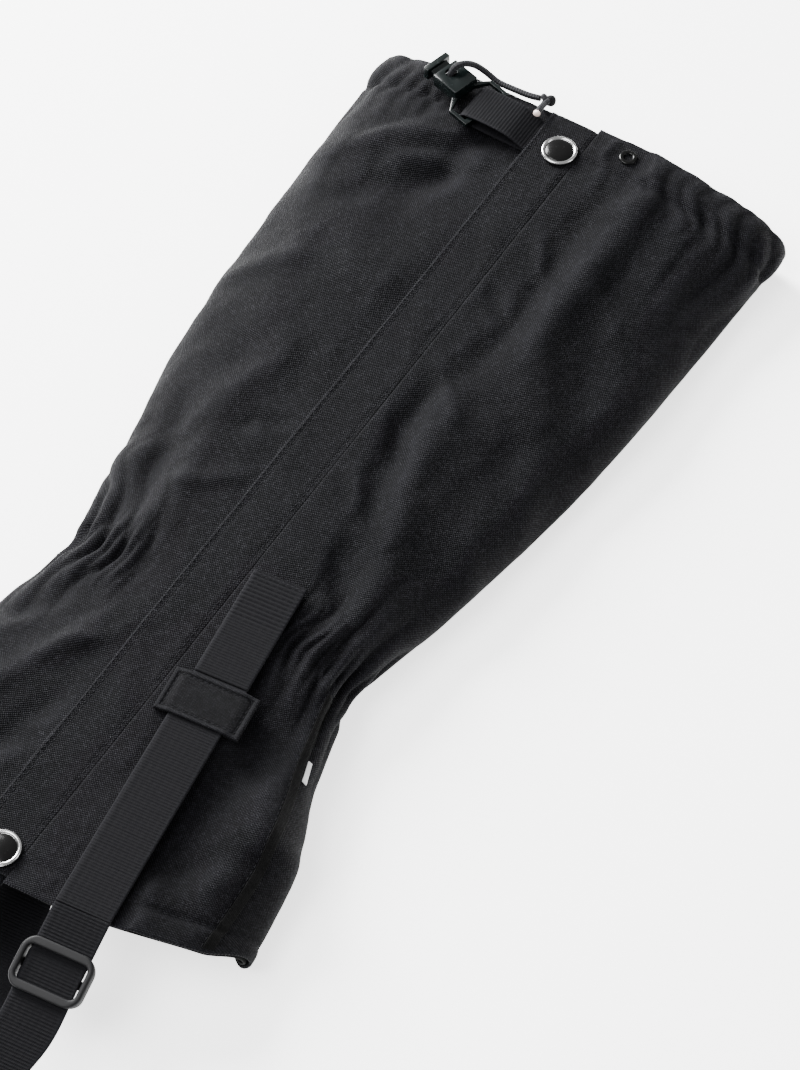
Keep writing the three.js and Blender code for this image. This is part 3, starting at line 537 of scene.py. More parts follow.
# %% The free cord
MOUTH_X = -74.82
EYELET_Y = 300
LOCK_HOLE = (-64.86, 296.13)
LOCK_LOW, LOCK_TOP = 37.1, 44.1
KNOT_X, KNOT_Y = -21, 310.5
hole_x, hole_y = LOCK_HOLE
cord_route = [
    on_left(MOUTH_X - 7, EYELET_Y + 1),
    on_left(MOUTH_X - 1, EYELET_Y - 0.5, 0.2),
    on_left(hole_x - 5, hole_y + 1.2, 0.2),
    (hole_x - 1.1, hole_y + 0.2, LOCK_LOW - 1.5),
    (hole_x, hole_y, LOCK_LOW + 1.5),
    (hole_x, hole_y, LOCK_TOP - 0.5),
    (hole_x + 1.2, hole_y + 2, LOCK_TOP + 3),
    (hole_x + 3.6, hole_y + 5.4, LOCK_TOP + 3.2),
    (hole_x + 7, hole_y + 9.8, LOCK_TOP),
    (hole_x + 11.5, KNOT_Y - 1.9, LOCK_TOP - 4.6),
    on_left(hole_x + 18, KNOT_Y - 1.6, 0.9),
    on_left(hole_x + 26, KNOT_Y - 1.2, 0.3),
    on_left(KNOT_X - 9, KNOT_Y - 0.8, 0.6),
    on_left(KNOT_X - 3.5, KNOT_Y, 1.2),
]
cord_line = smooth_route(cord_route, 0.7)
free_cord = keep(tube("drawcord_free_end", cord_line, CORD_R, cord_braid),
                 "root", "cord", "drawcord_loose")

# %% [markdown]
# The knot could be a plain ball, but an overhand knot is a trefoil, and a trefoil has a formula:
# two circles of different speed, and a wave that lifts each crossing over the next. The cord
# drawn tight in it is a little thinner. Behind it the end is melted, so that the braid can't
# fray.

# %% The knot, the tip and the melted end
KNOT_SIZE, KNOT_SPREAD, KNOT_HEIGHT = 1.2, 1.35, 1.15
TIGHT_CORD_R = 1.35
BLOB_R = 1.75

knot_centre = np.array(on_left(KNOT_X, KNOT_Y, 1.7))
turns = np.linspace(0, 2 * math.pi, 90)
knot_line = knot_centre + np.stack([
    KNOT_SIZE * (np.sin(turns) + KNOT_SPREAD * np.sin(2 * turns)),
    KNOT_SIZE * (np.cos(turns) - KNOT_SPREAD * np.cos(2 * turns)),
    -KNOT_HEIGHT * np.sin(3 * turns),
], axis=1)
cord_knot = keep(tube("drawcord_overhand_knot", knot_line, TIGHT_CORD_R, cord_braid, 12),
                 "root", "cord", "drawcord_knot")
tip_line = smooth_route([
    knot_centre + (0.2, -2.0, 0.4),
    knot_centre + (0.9, -7.2, 2.8),
    knot_centre + (1.4, -11.2, 3.5),
], 0.6)
cord_tip = keep(tube("drawcord_tip", tip_line, CORD_R, cord_braid),
                "root", "cord", "drawcord_end")
blob_steps = 9
blob_way = np.outer(np.linspace(0, 1, blob_steps), (0.25, -2.3, 0.3))
blob_line = knot_centre + (1.4, -11.0, 3.5) + blob_way
blob_radius = BLOB_R * np.sqrt(np.clip(1 - np.linspace(-0.75, 0.97, blob_steps) ** 2, 0.02, 1))
melted_end = keep(tube("drawcord_melted_end", blob_line, blob_radius, melted_tip), "root", "cord")
print("knot: %.1f mm across" % (np.ptp(knot_line[:, 0]) + 2 * TIGHT_CORD_R))

# %% [markdown]
# The sleeve's section is a soft lens: a crowned front, a rounded fold at each side and a flat
# back. It could be sculpted, but then it would drift from the hard model. Here the widths up the
# leg and the two heights give every section, as they do there, so the cloth lies where the model
# says. Everything is in millimetres.

# %% The sleeve's shape
HEM_Y = -157
HEM_RISE = 27
BACK_HEM_RISE = 23
BACK_RISE_SHARE = 0.82
CORNER_ROUND, CORNER_SHARES = 7, (0.86, 1.03)
INSTEP_Y = HEM_Y * 0.26
FLAT_SHARE = 0.55
SEAM_SHARE = 0.64
WALL = 1.6
FOLD_X = 9.3
UNDERLAP_X = 7.8
STATIONS = np.array([
    (HEM_Y, 105), (HEM_Y * 0.6, 97.5), (INSTEP_Y, 81), (0, 72),
    (TOP_Y * 0.18, 84), (TOP_Y * 0.49, 99.5), (TOP_Y, TOP_HALF),
], float)
ANKLE_STATION = 3


def station_slope(i):
    """Slope of the outline at a station, from its two neighbours; the ankle is the narrowest."""
    (y0, w0), (y1, w1) = STATIONS[max(i - 1, 0)], STATIONS[min(i + 1, len(STATIONS) - 1)]
    return 0.0 if i == ANKLE_STATION else (w1 - w0) / (y1 - y0)


STATION_SLOPES = np.array([station_slope(i) for i in range(len(STATIONS))])


def half_width(y):
    """Half of the sleeve's width at heights up the leg."""
    y = np.asarray(y, float)
    i = np.clip(np.searchsorted(STATIONS[:, 0], y, side="right") - 1, 0, len(STATIONS) - 2)
    y0, w0 = STATIONS[i, 0], STATIONS[i, 1]
    y1, w1 = STATIONS[i + 1, 0], STATIONS[i + 1, 1]
    span = y1 - y0
    t = np.clip((y - y0) / span, 0, 1)
    rest = 1 - t
    return (w0 * rest**2 * (1 + 2 * t) + STATION_SLOPES[i] * span * t * rest**2
            + w1 * t**2 * (3 - 2 * t) - STATION_SLOPES[i + 1] * span * t**2 * rest)


def upper_z(x, half, crest):
    """Height of the crowned front."""
    share = np.minimum(np.abs(x) / half, 1)
    return EDGE_HEIGHT + (crest - EDGE_HEIGHT) * np.sqrt(1 - share**4)


def lower_z(x, half):
    """Height of the back: flat in the middle, turning up to the folds."""
    lift = np.clip((np.abs(x) / half - FLAT_SHARE) / (1 - FLAT_SHARE), 0, 1)
    return EDGE_HEIGHT * (1 - np.sqrt(1 - lift**3))


def ease(value, low, high):
    """0 below low, 1 above high and smooth in between."""
    t = np.clip((value - low) / (high - low), 0, 1)
    return t * t * (3 - 2 * t)


def risen(x, y, half, under=0.0):
    """The boot hem rises to its rounded corners, and the back is cut shorter; under is 1 there."""
    near_hem = np.clip((y - INSTEP_Y) / (HEM_Y - INSTEP_Y), 0, 1)
    share = np.abs(x) / half
    shorter = BACK_HEM_RISE * under * (1 - ease(share, BACK_RISE_SHARE, 1))
    rounded = CORNER_ROUND * ease(share, *CORNER_SHARES) * near_hem**4
    return y + (HEM_RISE * share**2 + shorter) * near_hem + rounded


def noise(x, y, seed):
    """Smooth random heights from -1 to 1, a unit apart."""
    table = np.random.default_rng(seed).uniform(-1, 1, (64, 64))
    xi, yi = np.floor(x).astype(int), np.floor(y).astype(int)
    fx, fy = ease(x - xi, 0, 1), ease(y - yi, 0, 1)

    def at(i, j):
        return table[i % 64, j % 64]

    low = at(xi, yi) * (1 - fx) + at(xi + 1, yi) * fx
    high = at(xi, yi + 1) * (1 - fx) + at(xi + 1, yi + 1) * fx
    return low * (1 - fy) + high * fy


print("half width at ankle and top:", half_width(0.0), half_width(TOP_Y))

# %% [markdown]
# Cloth that is gathered makes puffs with sharp valleys between them, and they fan out and join as
# they leave the elastic. Long soft folds run over the rest. A cloth simulation could fold the
# sleeve, but it would have to hold a double wall, elastic and a strap apart and come out the same
# each time. So each kind of fold is a field of heights off the smooth sleeve. All layers share
# the fields, so no layer comes through another, and cloth under the strap, the lock and the loose
# cord stays down.

# %% How the cloth is gathered and folded
# Each fold: side, start x and y, end x and y, half width, height (mm); a valley has a minus height.
LEFT_FOLDS = [
    (-58, 6, -66, 78, 7, -3.6), (-40, 10, -52, 92, 8, 2.2), (-78, 40, -44, 118, 9, 2.4),
    (-30, 100, -80, 128, 11, -2.4), (-24, 176, -92, 214, 13, 2.0), (-92, 236, -46, 292, 8, 2.8),
    (-48, 230, -34, 290, 7, -2.6), (-74, 214, -40, 258, 8, -2.2), (-30, -30, -64, -120, 8, 3.2),
    (-22, -70, -46, -150, 7, -2.8), (-50, -20, -92, -70, 8, -2.8), (-17, 62, -46, 42, 5, 1.8),
    (-18, 96, -40, 84, 5, -1.6), (-17, -26, -46, -62, 5, 1.9), (-18, -92, -52, -126, 6, -1.8),
    (-34, 262, -66, 248, 5, 1.4), (-70, 176, -96, 150, 7, 1.8),
]
RIGHT_FOLDS = [
    (30, 276, 34, 182, 8, -3.4), (34, 182, 22, 118, 8, -3.0), (22, 118, 44, 26, 8, -3.2),
    (50, 280, 46, 196, 9, 2.8), (46, 190, 72, 150, 10, 2.6), (36, 120, 62, 40, 8, 2.6),
    (62, 250, 84, 150, 15, -3.0), (70, 140, 60, 48, 12, -2.2), (92, 200, 78, 96, 10, 1.8),
    (76, -18, 82, -128, 8, 3.0), (60, -30, 58, -120, 12, -3.4), (66, -70, 96, -100, 9, 2.2),
    (52, -128, 88, -104, 9, -2.0), (30, 262, 52, 286, 7, 1.6), (15, 240, 38, 214, 4, 1.7),
    (15, 204, 34, 186, 4, -1.6), (14, 156, 44, 130, 5, 2.0), (14, 122, 34, 98, 4, -1.8),
    (15, 88, 40, 60, 5, 1.9), (34, 44, 58, 20, 4, -1.6), (44, 232, 78, 214, 6, 1.5),
    (56, 92, 88, 70, 7, 1.6),
]
# Each ring of gathers: middle, reach and sharpness along the leg, height, puffs round the sleeve,
# how far they wander, the wander's scale round and along, and a seed of its own.
ANKLE_GATHERS = [(0, 13, 1.6, 3.0, 21, 0.8, 6, 16, 0), (4, 34, 1.5, 3.9, 9.5, 0.7, 4, 24, 1)]
HEM_GATHERS = [(291, 13, 1.5, 2.0, 15, 0.9, 5, 20, 2), (280, 42, 1.5, 2.2, 6.5, 0.9, 3, 40, 3)]
FOLD_WANDER = 3.5
SEAM_IN = 13


def folds_at(side, x, y):
    """The long soft folds of one side."""
    total = np.zeros_like(x)
    for x0, y0, x1, y1, width, height in LEFT_FOLDS if side < 0 else RIGHT_FOLDS:
        span = np.array((x1 - x0, y1 - y0), float)
        along = ((x - x0) * span[0] + (y - y0) * span[1]) / (span @ span)
        wander = FOLD_WANDER * noise(along * 3, np.full_like(x, 0.5), int(abs(x0) + y0) % 97)
        off = ((x - x0) * span[1] - (y - y0) * span[0]) / np.linalg.norm(span) + wander
        ends = ease(along, -0.28, 0.18) * (1 - ease(along, 0.82, 1.28))
        total += height * ends * np.exp(-(off / width) ** 2)
    return total


def puffs(phase):
    """Rounded ridges with sharp valleys, from -0.6 to 0.4."""
    return np.abs(np.cos(math.pi * phase)) ** 0.8 - 0.6


def gathers(rings, way, y, seed):
    """Puffs where the cloth is drawn in, each ring with its own size of puff."""
    total = 0
    for middle, reach, sharp, height, count, wander, round_scale, long_scale, own in rings:
        near = np.exp(-np.abs((y - middle) / reach) ** sharp)
        drift = wander * noise(way * round_scale, y / long_scale, seed + own)
        total = total + near * height * puffs(way * count + drift)
    return total


# Places on the front where something lies on the cloth: centre, half sizes, turn, room above it.
STRAP_TURN = math.radians(7)
COVERED = [
    (31.5, -46.0, 21, 13, STRAP_TURN, 0.05),  # keeper
    (27.0, -8.0, 14, 32, STRAP_TURN, 0.05),  # loose end of the strap
    (38.0, -103, 14, 60, STRAP_TURN, 0.0),  # strap down to the hem
    (-46, 291, 30, 15, 0.0, 0.1),  # cord lock and its tab
    (28.8, 300, 5, 5, 0.0, 0.0),  # eyelet
    (-50, 309, 36, 6, 0.0, 0.2),  # loose cord
]
FREE_ROOM, ROOM_SLOPE, ROOM_REACH = 9.0, 6, 16


def room_over(x, y):
    """How far the cloth may rise, in millimetres."""
    room = np.full_like(x, FREE_ROOM)
    for cx, cy, wide, long, turn, lift in COVERED:
        dx, dy = x - cx, y - cy
        across = np.abs(dx * math.cos(turn) + dy * math.sin(turn)) - wide
        up = np.abs(-dx * math.sin(turn) + dy * math.cos(turn)) - long
        away = np.hypot(np.maximum(across, 0), np.maximum(up, 0))
        room = np.minimum(room, lift + ROOM_SLOPE * ease(away, 0, ROOM_REACH))
    return room


def drape(side, x, y, way, front, seam_way):
    """Height of the cloth off the smooth sleeve. way runs from closure to back seam (0 to 1)."""
    share = np.abs(x) / half_width(y)
    outer = np.maximum(ease(share, 0.30, 0.75), 1 - front)
    seed = 11 if side < 0 else 23
    ankle = gathers(ANKLE_GATHERS, way, y, seed) - 2.2 * np.exp(-(y / 8) ** 2)
    hem = gathers(HEM_GATHERS, way, y, seed)
    casing = 1.3 * np.sin(math.pi * np.clip((y - 290) / 18, 0, 1))
    casing -= 1.2 * np.exp(-((y - 289) / 2.2) ** 2)
    boot_hem = 0.7 * np.sin(math.pi * np.clip((HEM_Y + SEAM_IN - y) / SEAM_IN, 0, 1))
    boot_hem -= 0.8 * np.exp(-((y - HEM_Y - SEAM_IN) / 2) ** 2)
    soft = 2.3 * noise(x / 34 + 9, y / 62, seed + 4)
    soft += 1.1 * noise(x / 15, y / 30 + x / 40, seed + 5)
    fine = 0.28 * noise(x / 5.5, y / 8, seed + 6)
    total = ankle * outer + hem * (0.35 + 0.65 * outer) + casing + boot_hem + fine
    total += (soft + folds_at(side, x, y)) * front
    near_closure = np.abs(x - (FOLD_X if side > 0 else -12))
    if side > 0:
        inner = ease(near_closure, 0, 16)
    else:
        inner = np.where(x > -14, 0, ease(near_closure, 0, 18))
    total = total * inner + (side > 0) * 0.1 * (1 - inner) * noise(x / 6, y / 7, seed + 7)
    total = np.where(front > 0.5, np.minimum(total, room_over(x, y)), total)
    return total * (1 - 0.7 * (1 - front)) * (1 - ease(seam_way, 0.86, 1.0))


print("folds:", len(LEFT_FOLDS) + len(RIGHT_FOLDS), "covered places:", len(COVERED))

# %% [markdown]
# A panel is cut from that surface: an outer skin, an inner skin a wall further in, and rounded
# rims where the cloth is turned over at its hems. A Solidify modifier could give the wall, but
# not the rounded rims or the wear on them. The map of threads follows the cloth, so that the
# weave turns with the folds and stays the same size everywhere.


# %% Panels cut from the sleeve
SECTION_STEPS = 160


def section(side, y, crest, inner_x, inset, columns, part=(0.0, 1.0)):
    """One row of a side panel, evenly spaced from the closure round the fold to the back."""
    half = float(half_width(y)) - inset
    seam = side * (half * SEAM_SHARE + SEAM_SHARE * inset + GAP)
    t = np.linspace(0, math.pi / 2, SECTION_STEPS)
    x = inner_x + (side * half - inner_x) * np.sin(t)
    z = upper_z(x, half, crest - inset)
    x2 = (seam + (side * half - seam) * np.cos(t))[1:]
    z2 = inset + lower_z(x2, half) * (EDGE_HEIGHT - inset) / EDGE_HEIGHT
    x, z = np.concatenate([x, x2]), np.concatenate([z, z2])
    run = np.concatenate([[0], np.cumsum(np.hypot(np.diff(x), np.diff(z)))])
    want = np.linspace(part[0], part[1], columns) * run[-1]
    behind = want > run[SECTION_STEPS - 1]
    return np.interp(want, run, x), np.interp(want, run, z), want, behind


def back_section(y, inset, columns):
    """One row of the back panel between its two seams."""
    half = float(half_width(y))
    x = np.linspace(-1, 1, columns) * (half * SEAM_SHARE + GAP)
    return x, inset + lower_z(x, half - inset) * (EDGE_HEIGHT - inset) / EDGE_HEIGHT, x


def normals_of(points):
    """Unit normals of a grid of points."""
    n = np.cross(np.gradient(points, axis=1), np.gradient(points, axis=0))
    return n / np.linalg.norm(n, axis=2)[:, :, None]


def cloth(name, finish, outer, normal, thick, uv, worn, ends="round"):
    """A closed skin: the outer grid, a grid a wall further in, and rims between them."""
    rows, columns = outer.shape[:2]
    inner = outer - normal * thick
    middle = (outer + inner) / 2
    out_way = {0: middle[0] - middle[1], -1: middle[-1] - middle[-2]}
    rims = {}
    for end, way in out_way.items():
        way = way / np.linalg.norm(way, axis=1)[:, None]
        angle = np.radians([54, 18, -18, -54])
        bulge = way * (ends == "round")
        rims[end] = [middle[end] + thick / 2 * (np.sin(a) * normal[end] + np.cos(a) * bulge)
                     for a in angle]
    ring = np.concatenate([outer, np.array(rims[-1]), inner[::-1], np.array(rims[0])[::-1]])
    first_uv, last_uv = (np.repeat(uv[end][None], 4, 0) for end in (0, -1))
    ring_uv = np.concatenate([uv, last_uv, uv[::-1], first_uv])
    rim_worn = np.full((4, columns), 0.8)
    ring_worn = np.concatenate([worn, rim_worn, worn[::-1] * 0.5, rim_worn])
    count = len(ring)
    faces = grid_faces(count, columns, wrap=True).tolist()
    for column in (0, columns - 1):
        for i in range(rows - 1):
            a, b = i * columns + column, (i + 1) * columns + column
            c, d = (2 * rows + 2 - i) * columns + column, (2 * rows + 3 - i) * columns + column
            faces.append((a, b, c, d))
        top = [(rows - 1 + k) * columns + column for k in range(6)]
        bottom = [((2 * rows + 3 + k) % count) * columns + column for k in range(6)]
        faces += [tuple(top), tuple(bottom)]
    points, threads = ring.reshape(-1, 3), ring_uv.reshape(-1, 2)
    return outward(make(name, points, faces, finish, threads, ring_worn.ravel()))


def under_the_puffs(lift, reach=7):
    """The lowest height near each point of a row, smoothed: an inner layer lies under the puffs."""
    wide = np.pad(lift, ((0, 0), (reach, reach)), mode="edge")
    spans = range(2 * reach + 1)
    low = np.min([wide[:, k:k + lift.shape[1]] for k in spans], axis=0)
    wide = np.pad(low, ((0, 0), (reach, reach)), mode="edge")
    return np.mean([wide[:, k:k + lift.shape[1]] for k in spans], axis=0) - 0.3


# Each side: its sign, the height of its crown and where it ends at the closure.
SIDES = {"left": (-1, CREST, UNDERLAP_X), "right": (1, FRONT_Z, FOLD_X + GAP / 2)}
PANEL_THICK = WALL - 0.3
OFF_FLOOR = 0.03
skins = {}


def side_layer(name, which, finish, low, high, rows, columns, inset=0.0, thick=PANEL_THICK,
               part=(0.0, 1.0)):
    """A layer of a side panel between two heights, with the shared gathers and folds."""
    side, crest, inner_x = SIDES[which]
    levels = np.linspace(low, high, rows)
    cut = [section(side, y, crest, inner_x, inset, columns, part) for y in levels]
    x, z, run, under = (np.array([c[k] for c in cut]) for k in range(4))
    half = half_width(levels)[:, None]
    y0 = np.repeat(levels[:, None], columns, 1)
    base = np.stack([x, risen(x, y0, half, under), z], -1)
    normal = normals_of(base) * side
    way = np.linspace(part[0], part[1], columns)[None] + 0 * x
    front = ease(normal[..., 2], -0.5, 0.5)
    lift = drape(side, x, y0, way, front, way)
    if inset:
        lift = under_the_puffs(lift)
    outer = base + normal * lift[..., None]
    outer[..., 2] = np.maximum(outer[..., 2], OFF_FLOOR + inset)
    normal = normals_of(outer) * side
    uv = np.stack([side * run, y0], -1)
    ridges = ease(lift - (np.roll(lift, 3, 1) + np.roll(lift, -3, 1)) / 2, 0.05, 0.5)
    at_hems = 0.5 * np.exp(-(HEM_Y - y0) ** 2 / 12) + 0.4 * np.exp(-(TOP_Y - y0) ** 2 / 12)
    worn = 0.5 * ridges + at_hems
    item = cloth(name, finish, outer, normal, thick, uv, worn)
    skins[name] = (levels, outer, normal)
    return item


def back_layer(name, finish, low, high, rows, columns, inset=0.0, thick=PANEL_THICK):
    """A layer of the back panel, which lies on the floor with a few shallow gathers."""
    levels = np.linspace(low, high, rows)
    cut = [back_section(y, inset, columns) for y in levels]
    x, z, run = (np.array([c[k] for c in cut]) for k in range(3))
    half = half_width(levels)[:, None]
    y0 = np.repeat(levels[:, None], columns, 1)
    outer = np.stack([x, risen(x, y0, half, 1.0), z + OFF_FLOOR], -1)
    to_seam = half * SEAM_SHARE - np.abs(x)
    lift = 0.5 * (1 + noise(x / 9, y0 / 22, 41)) * ease(to_seam, 0, 20)
    ankle = 1.1 * np.abs(puffs(x / 9)) * np.exp(-(y0 / 14) ** 2) * ease(to_seam, 0, 14)
    outer[..., 2] += lift + ankle
    normal = -normals_of(outer)
    worn = 0.3 * ease(lift, 0.6, 1.0)
    item = cloth(name, finish, outer, normal, thick, np.stack([run, y0], -1), worn)
    skins[name] = (levels, outer, normal)
    return item


left_panel, right_panel = (
    keep(side_layer(f"sleeve_{which}_panel", which, sleeve_cloth, HEM_Y, TOP_Y, 350, 116),
         "root", "fabric", f"{which}_panel") for which in SIDES)
back_panel = keep(back_layer("sleeve_back_panel", sleeve_cloth, HEM_Y, TOP_Y, 230, 64),
                  "root", "fabric", "back_panel")
sleeve_panels = (left_panel, right_panel, back_panel)
print("sleeve panels:", sum(len(panel.data.polygons) for panel in sleeve_panels), "faces")

# %% [markdown]
# Each panel was cut flat before it was gathered. The cut's width is the longest row of its
# section, so it is measured on the section, not guessed; for the back panel an area is also
# worked out from the mean row.

# %% What the panels were cut from
SLEEVE_LONG = TOP_Y - HEM_Y
cut_levels = np.linspace(HEM_Y, TOP_Y, 60)
for which, panel in (("left", left_panel), ("right", right_panel)):
    side, crest, inner_x = SIDES[which]
    widths = np.array([section(side, y, crest, inner_x, 0.0, 40)[2][-1] for y in cut_levels])
    print("%s panel cut: %.0f x %.0f mm" % (which, widths.max(), SLEEVE_LONG))
back_widths = 2 * SEAM_SHARE * half_width(cut_levels)
back_widths.max() * MM
back_widths.mean() * SLEEVE_LONG * MM**2
print("back panel cut: %.0f x %.0f mm" % (back_widths.max(), SLEEVE_LONG))

# %% [markdown]
# Inside, tapes close the casings and face the hems, and elastic draws the ankle in. They could be
# copies of the panels pushed inwards, but copies of sharp puffs would cross. So each layer
# follows the same gathers from underneath, a little further in.

# %% Casings, facings and elastic
FACING = 1.0
CASING_INSET = WALL + FACING + 2 * CORD_R + FACING
FACING_INSET = WALL + GAP
CASING_LOW = 290
HEM_TAPE = (HEM_Y + 0.5, HEM_Y + SEAM_IN + 1)
for which, start in (("left", 0.42), ("right", 0.12)):
    for name, node, finish, low, high, rows, columns, inset, part, slot_name in (
            ("casing_inside", "top_casing", lining_cloth, CASING_LOW, TOP_Y - 0.6, 14, 80,
             CASING_INSET, (start, 1.0), "lining"),
            ("hem_inside", "hem_facing", lining_cloth, *HEM_TAPE, 12, 80,
             FACING_INSET, (0.12, 1.0), "lining"),
            ("elastic", "ankle_elastic", ribbed_elastic, -5, 5, 12, 110,
             FACING_INSET, (0.34, 0.98), "elastic"),
            ("elastic_cover", "ankle_channel", lining_cloth, -10, 10, 18, 110,
             FACING_INSET + FACING + GAP, (0.34, 0.99), "lining")):
        keep(side_layer(f"{name}_{which}", which, finish, low, high, rows, columns, inset, FACING,
                        part), "root", slot_name, f"{node}_{which}")
keep(back_layer("casing_inside_back", lining_cloth, CASING_LOW, TOP_Y - 0.6, 10, 50, CASING_INSET,
                FACING), "root", "lining", "top_casing_back")
keep(back_layer("hem_inside_back", lining_cloth, *HEM_TAPE, 10, 50, FACING_INSET, FACING),
     "root", "lining", "hem_facing_back")
print("inside layers made")

# %% [markdown]
# The front flap is a stiffened strip that turns on the line where it is sewn to the right panel.
# It stays nearly flat, with small puckers where the stitches pull, and its free edge is folded.
# As one rigid piece it would leave a slot at the seam when it opens; here its ripples fade out
# towards the seam.

# %% Front flap
FLAP_LEFT, FLAP_RIGHT = -14.5, 9.42
FLAP_LOW, FLAP_HIGH = -154, 305
FLAP_THICK = 1.4
FLAP_SEAMS = (-11.6, -13.6, 7.2)
SNAP_X = 0.3
TOP_SNAP_Y, BOTTOM_SNAP_Y = 286, -146
SNAP_CALM = (8.5, 15)


def flap_lift(x, y):
    """Puckers at the two sewn edges and slow waves between them, flat under the snaps."""
    edge = np.exp(-((x - FLAP_LEFT - 2.5) / 2.6) ** 2)
    edge += 0.5 * np.exp(-((x - FLAP_RIGHT + 3.5) / 2.4) ** 2)
    ripple = 0.46 * edge * noise(y / 4.6, x / 7, 61)
    ripple += 0.52 * (noise(y / 21 + x / 19, x / 12, 62) + 0.5)
    seam = -0.28 * sum(np.exp(-((x - line) / 0.7) ** 2) for line in (FLAP_SEAMS[0], FLAP_SEAMS[2]))
    calm = np.ones_like(x)
    for snap_y in (TOP_SNAP_Y, BOTTOM_SNAP_Y):
        calm = np.minimum(calm, ease(np.hypot(x - SNAP_X, y - snap_y), *SNAP_CALM))
    ripple *= calm * (1 - ease(x, FLAP_RIGHT - 2.5, FLAP_RIGHT))
    return np.maximum(ripple, -0.1) + seam * calm


x, y = np.meshgrid(np.linspace(FLAP_LEFT, FLAP_RIGHT, 40), np.linspace(FLAP_LOW, FLAP_HIGH, 500))
wander = 0.5 * noise(y / 24, y * 0 + 0.5, 64) * ease(-x, 0, -FLAP_LEFT)
flap_points = np.stack([x + wander, y, FRONT_Z + flap_lift(x, y)], -1)
flap_normal = normals_of(flap_points)
flap_worn = 0.7 * np.exp(-(x - FLAP_LEFT) ** 2 / 1.2)
flap = cloth("front_flap_strip", sleeve_cloth, flap_points, flap_normal, FLAP_THICK,
             np.stack([x, y], -1), flap_worn)
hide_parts("front_flap")
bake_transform(flap)
print("flap puckers up to %.2f mm" % flap_lift(x, y).max())

# %% [markdown]
# Under the flap run two fastener tapes. The loop tape is a dense pile. The hook tape carries rows
# of tiny hooks, here short tapered pegs, because the bend of a hook half a millimetre high
# doesn't show. An Array modifier could repeat one along a row, but Geometry Nodes set one on
# every point of a grid at once, and the same small class serves every later row of repeated
# pieces.


# %% A geometry tree with named inputs
class Recipe:
    """A Geometry Nodes tree that is built in order, with its inputs by name."""

    def __init__(self, name):
        self.tree = bpy.data.node_groups.new(name, "GeometryNodeTree")
        for way in ("INPUT", "OUTPUT"):
            self.tree.interface.new_socket("Geometry", in_out=way,
                                           socket_type="NodeSocketGeometry")
        self.start = self.tree.nodes.new("NodeGroupInput")
        self.end = self.tree.nodes.new("NodeGroupOutput")

    def input(self, name, kind):
        """A named input of the tree."""
        self.tree.interface.new_socket(name, in_out="INPUT", socket_type=kind)
        return self.start.outputs[name]

    def add(self, kind, settings=None, sockets=None):
        """Any node: its settings first, then the values or links of its sockets."""
        node = self.tree.nodes.new(kind)
        for key, value in (settings or {}).items():
            setattr(node, key, value)
        for key, item in (sockets or {}).items():
            if isinstance(item, bpy.types.NodeSocket):
                self.tree.links.new(item, node.inputs[key])
            else:
                node.inputs[key].default_value = item
        return node

    def finish(self, geometry, material):
        """Ends the tree: real faces instead of instances, shaded smooth, with their finish."""
        real = self.add("GeometryNodeRealizeInstances", None, {0: geometry})
        smooth = self.add("GeometryNodeSetShadeSmooth", None, {0: real.outputs[0]})
        done = self.add("GeometryNodeSetMaterial", None, {
            "Geometry": smooth.outputs[0], "Material": material})
        self.tree.links.new(done.outputs[0], self.end.inputs[0])


def run_recipe(recipe, item, name, inputs):
    """Runs a tree on an object and returns the result as a plain mesh; the source is removed."""
    modifier = item.modifiers.new("recipe", "NODES")
    modifier.node_group = recipe.tree
    ids = {s.name: s.identifier for s in recipe.tree.interface.items_tree if s.in_out == "INPUT"}
    for key, value in inputs.items():
        modifier[ids[key]] = value
    bpy.context.view_layer.update()
    seen = item.evaluated_get(bpy.context.evaluated_depsgraph_get())
    mesh = bpy.data.meshes.new_from_object(seen)
    mesh.name = name
    item.modifiers.remove(modifier)
    bpy.data.objects.remove(item)
    return link(bpy.data.objects.new(name, mesh))


hooks = Recipe("hook_rows")
hook_height = hooks.input("Hook height", "NodeSocketFloat")
hook_finish = hooks.input("Finish", "NodeSocketMaterial")
hook_shape = hooks.add("GeometryNodeMeshCone", None, {
    "Vertices": 6, "Radius Top": 0.00008, "Radius Bottom": 0.0002, "Depth": hook_height})
rows_of_hooks = hooks.add("GeometryNodeInstanceOnPoints", None, {
    "Points": hooks.start.outputs[0], "Instance": hook_shape.outputs["Mesh"]})
hooks.finish(rows_of_hooks.outputs[0], hook_finish)
print("recipe for the hooks:", len(hooks.tree.nodes), "nodes")

# %% Fastener tapes
TAPE_X = (-11.5, 6.3)
TAPE_Y = (-134.5, 277)
HOOK_TAPE_Z, LOOP_TAPE_Z = (34.32, 34.85), (35.6, 36.5)
HOOK_SPACING, HOOK_HEIGHT = 1.9, 0.55


def tape_base(name, low, high, finish):
    """The flat band of a fastener tape between two heights."""
    x, y = np.meshgrid(np.linspace(*TAPE_X, 14), np.linspace(*TAPE_Y, 200))
    points = np.stack([x, y, high + 0.08 * noise(x / 3, y / 3, 71)], -1)
    return cloth(name, finish, points, normals_of(points), high - low, np.stack([x, y], -1),
                 0 * x, ends="flat")


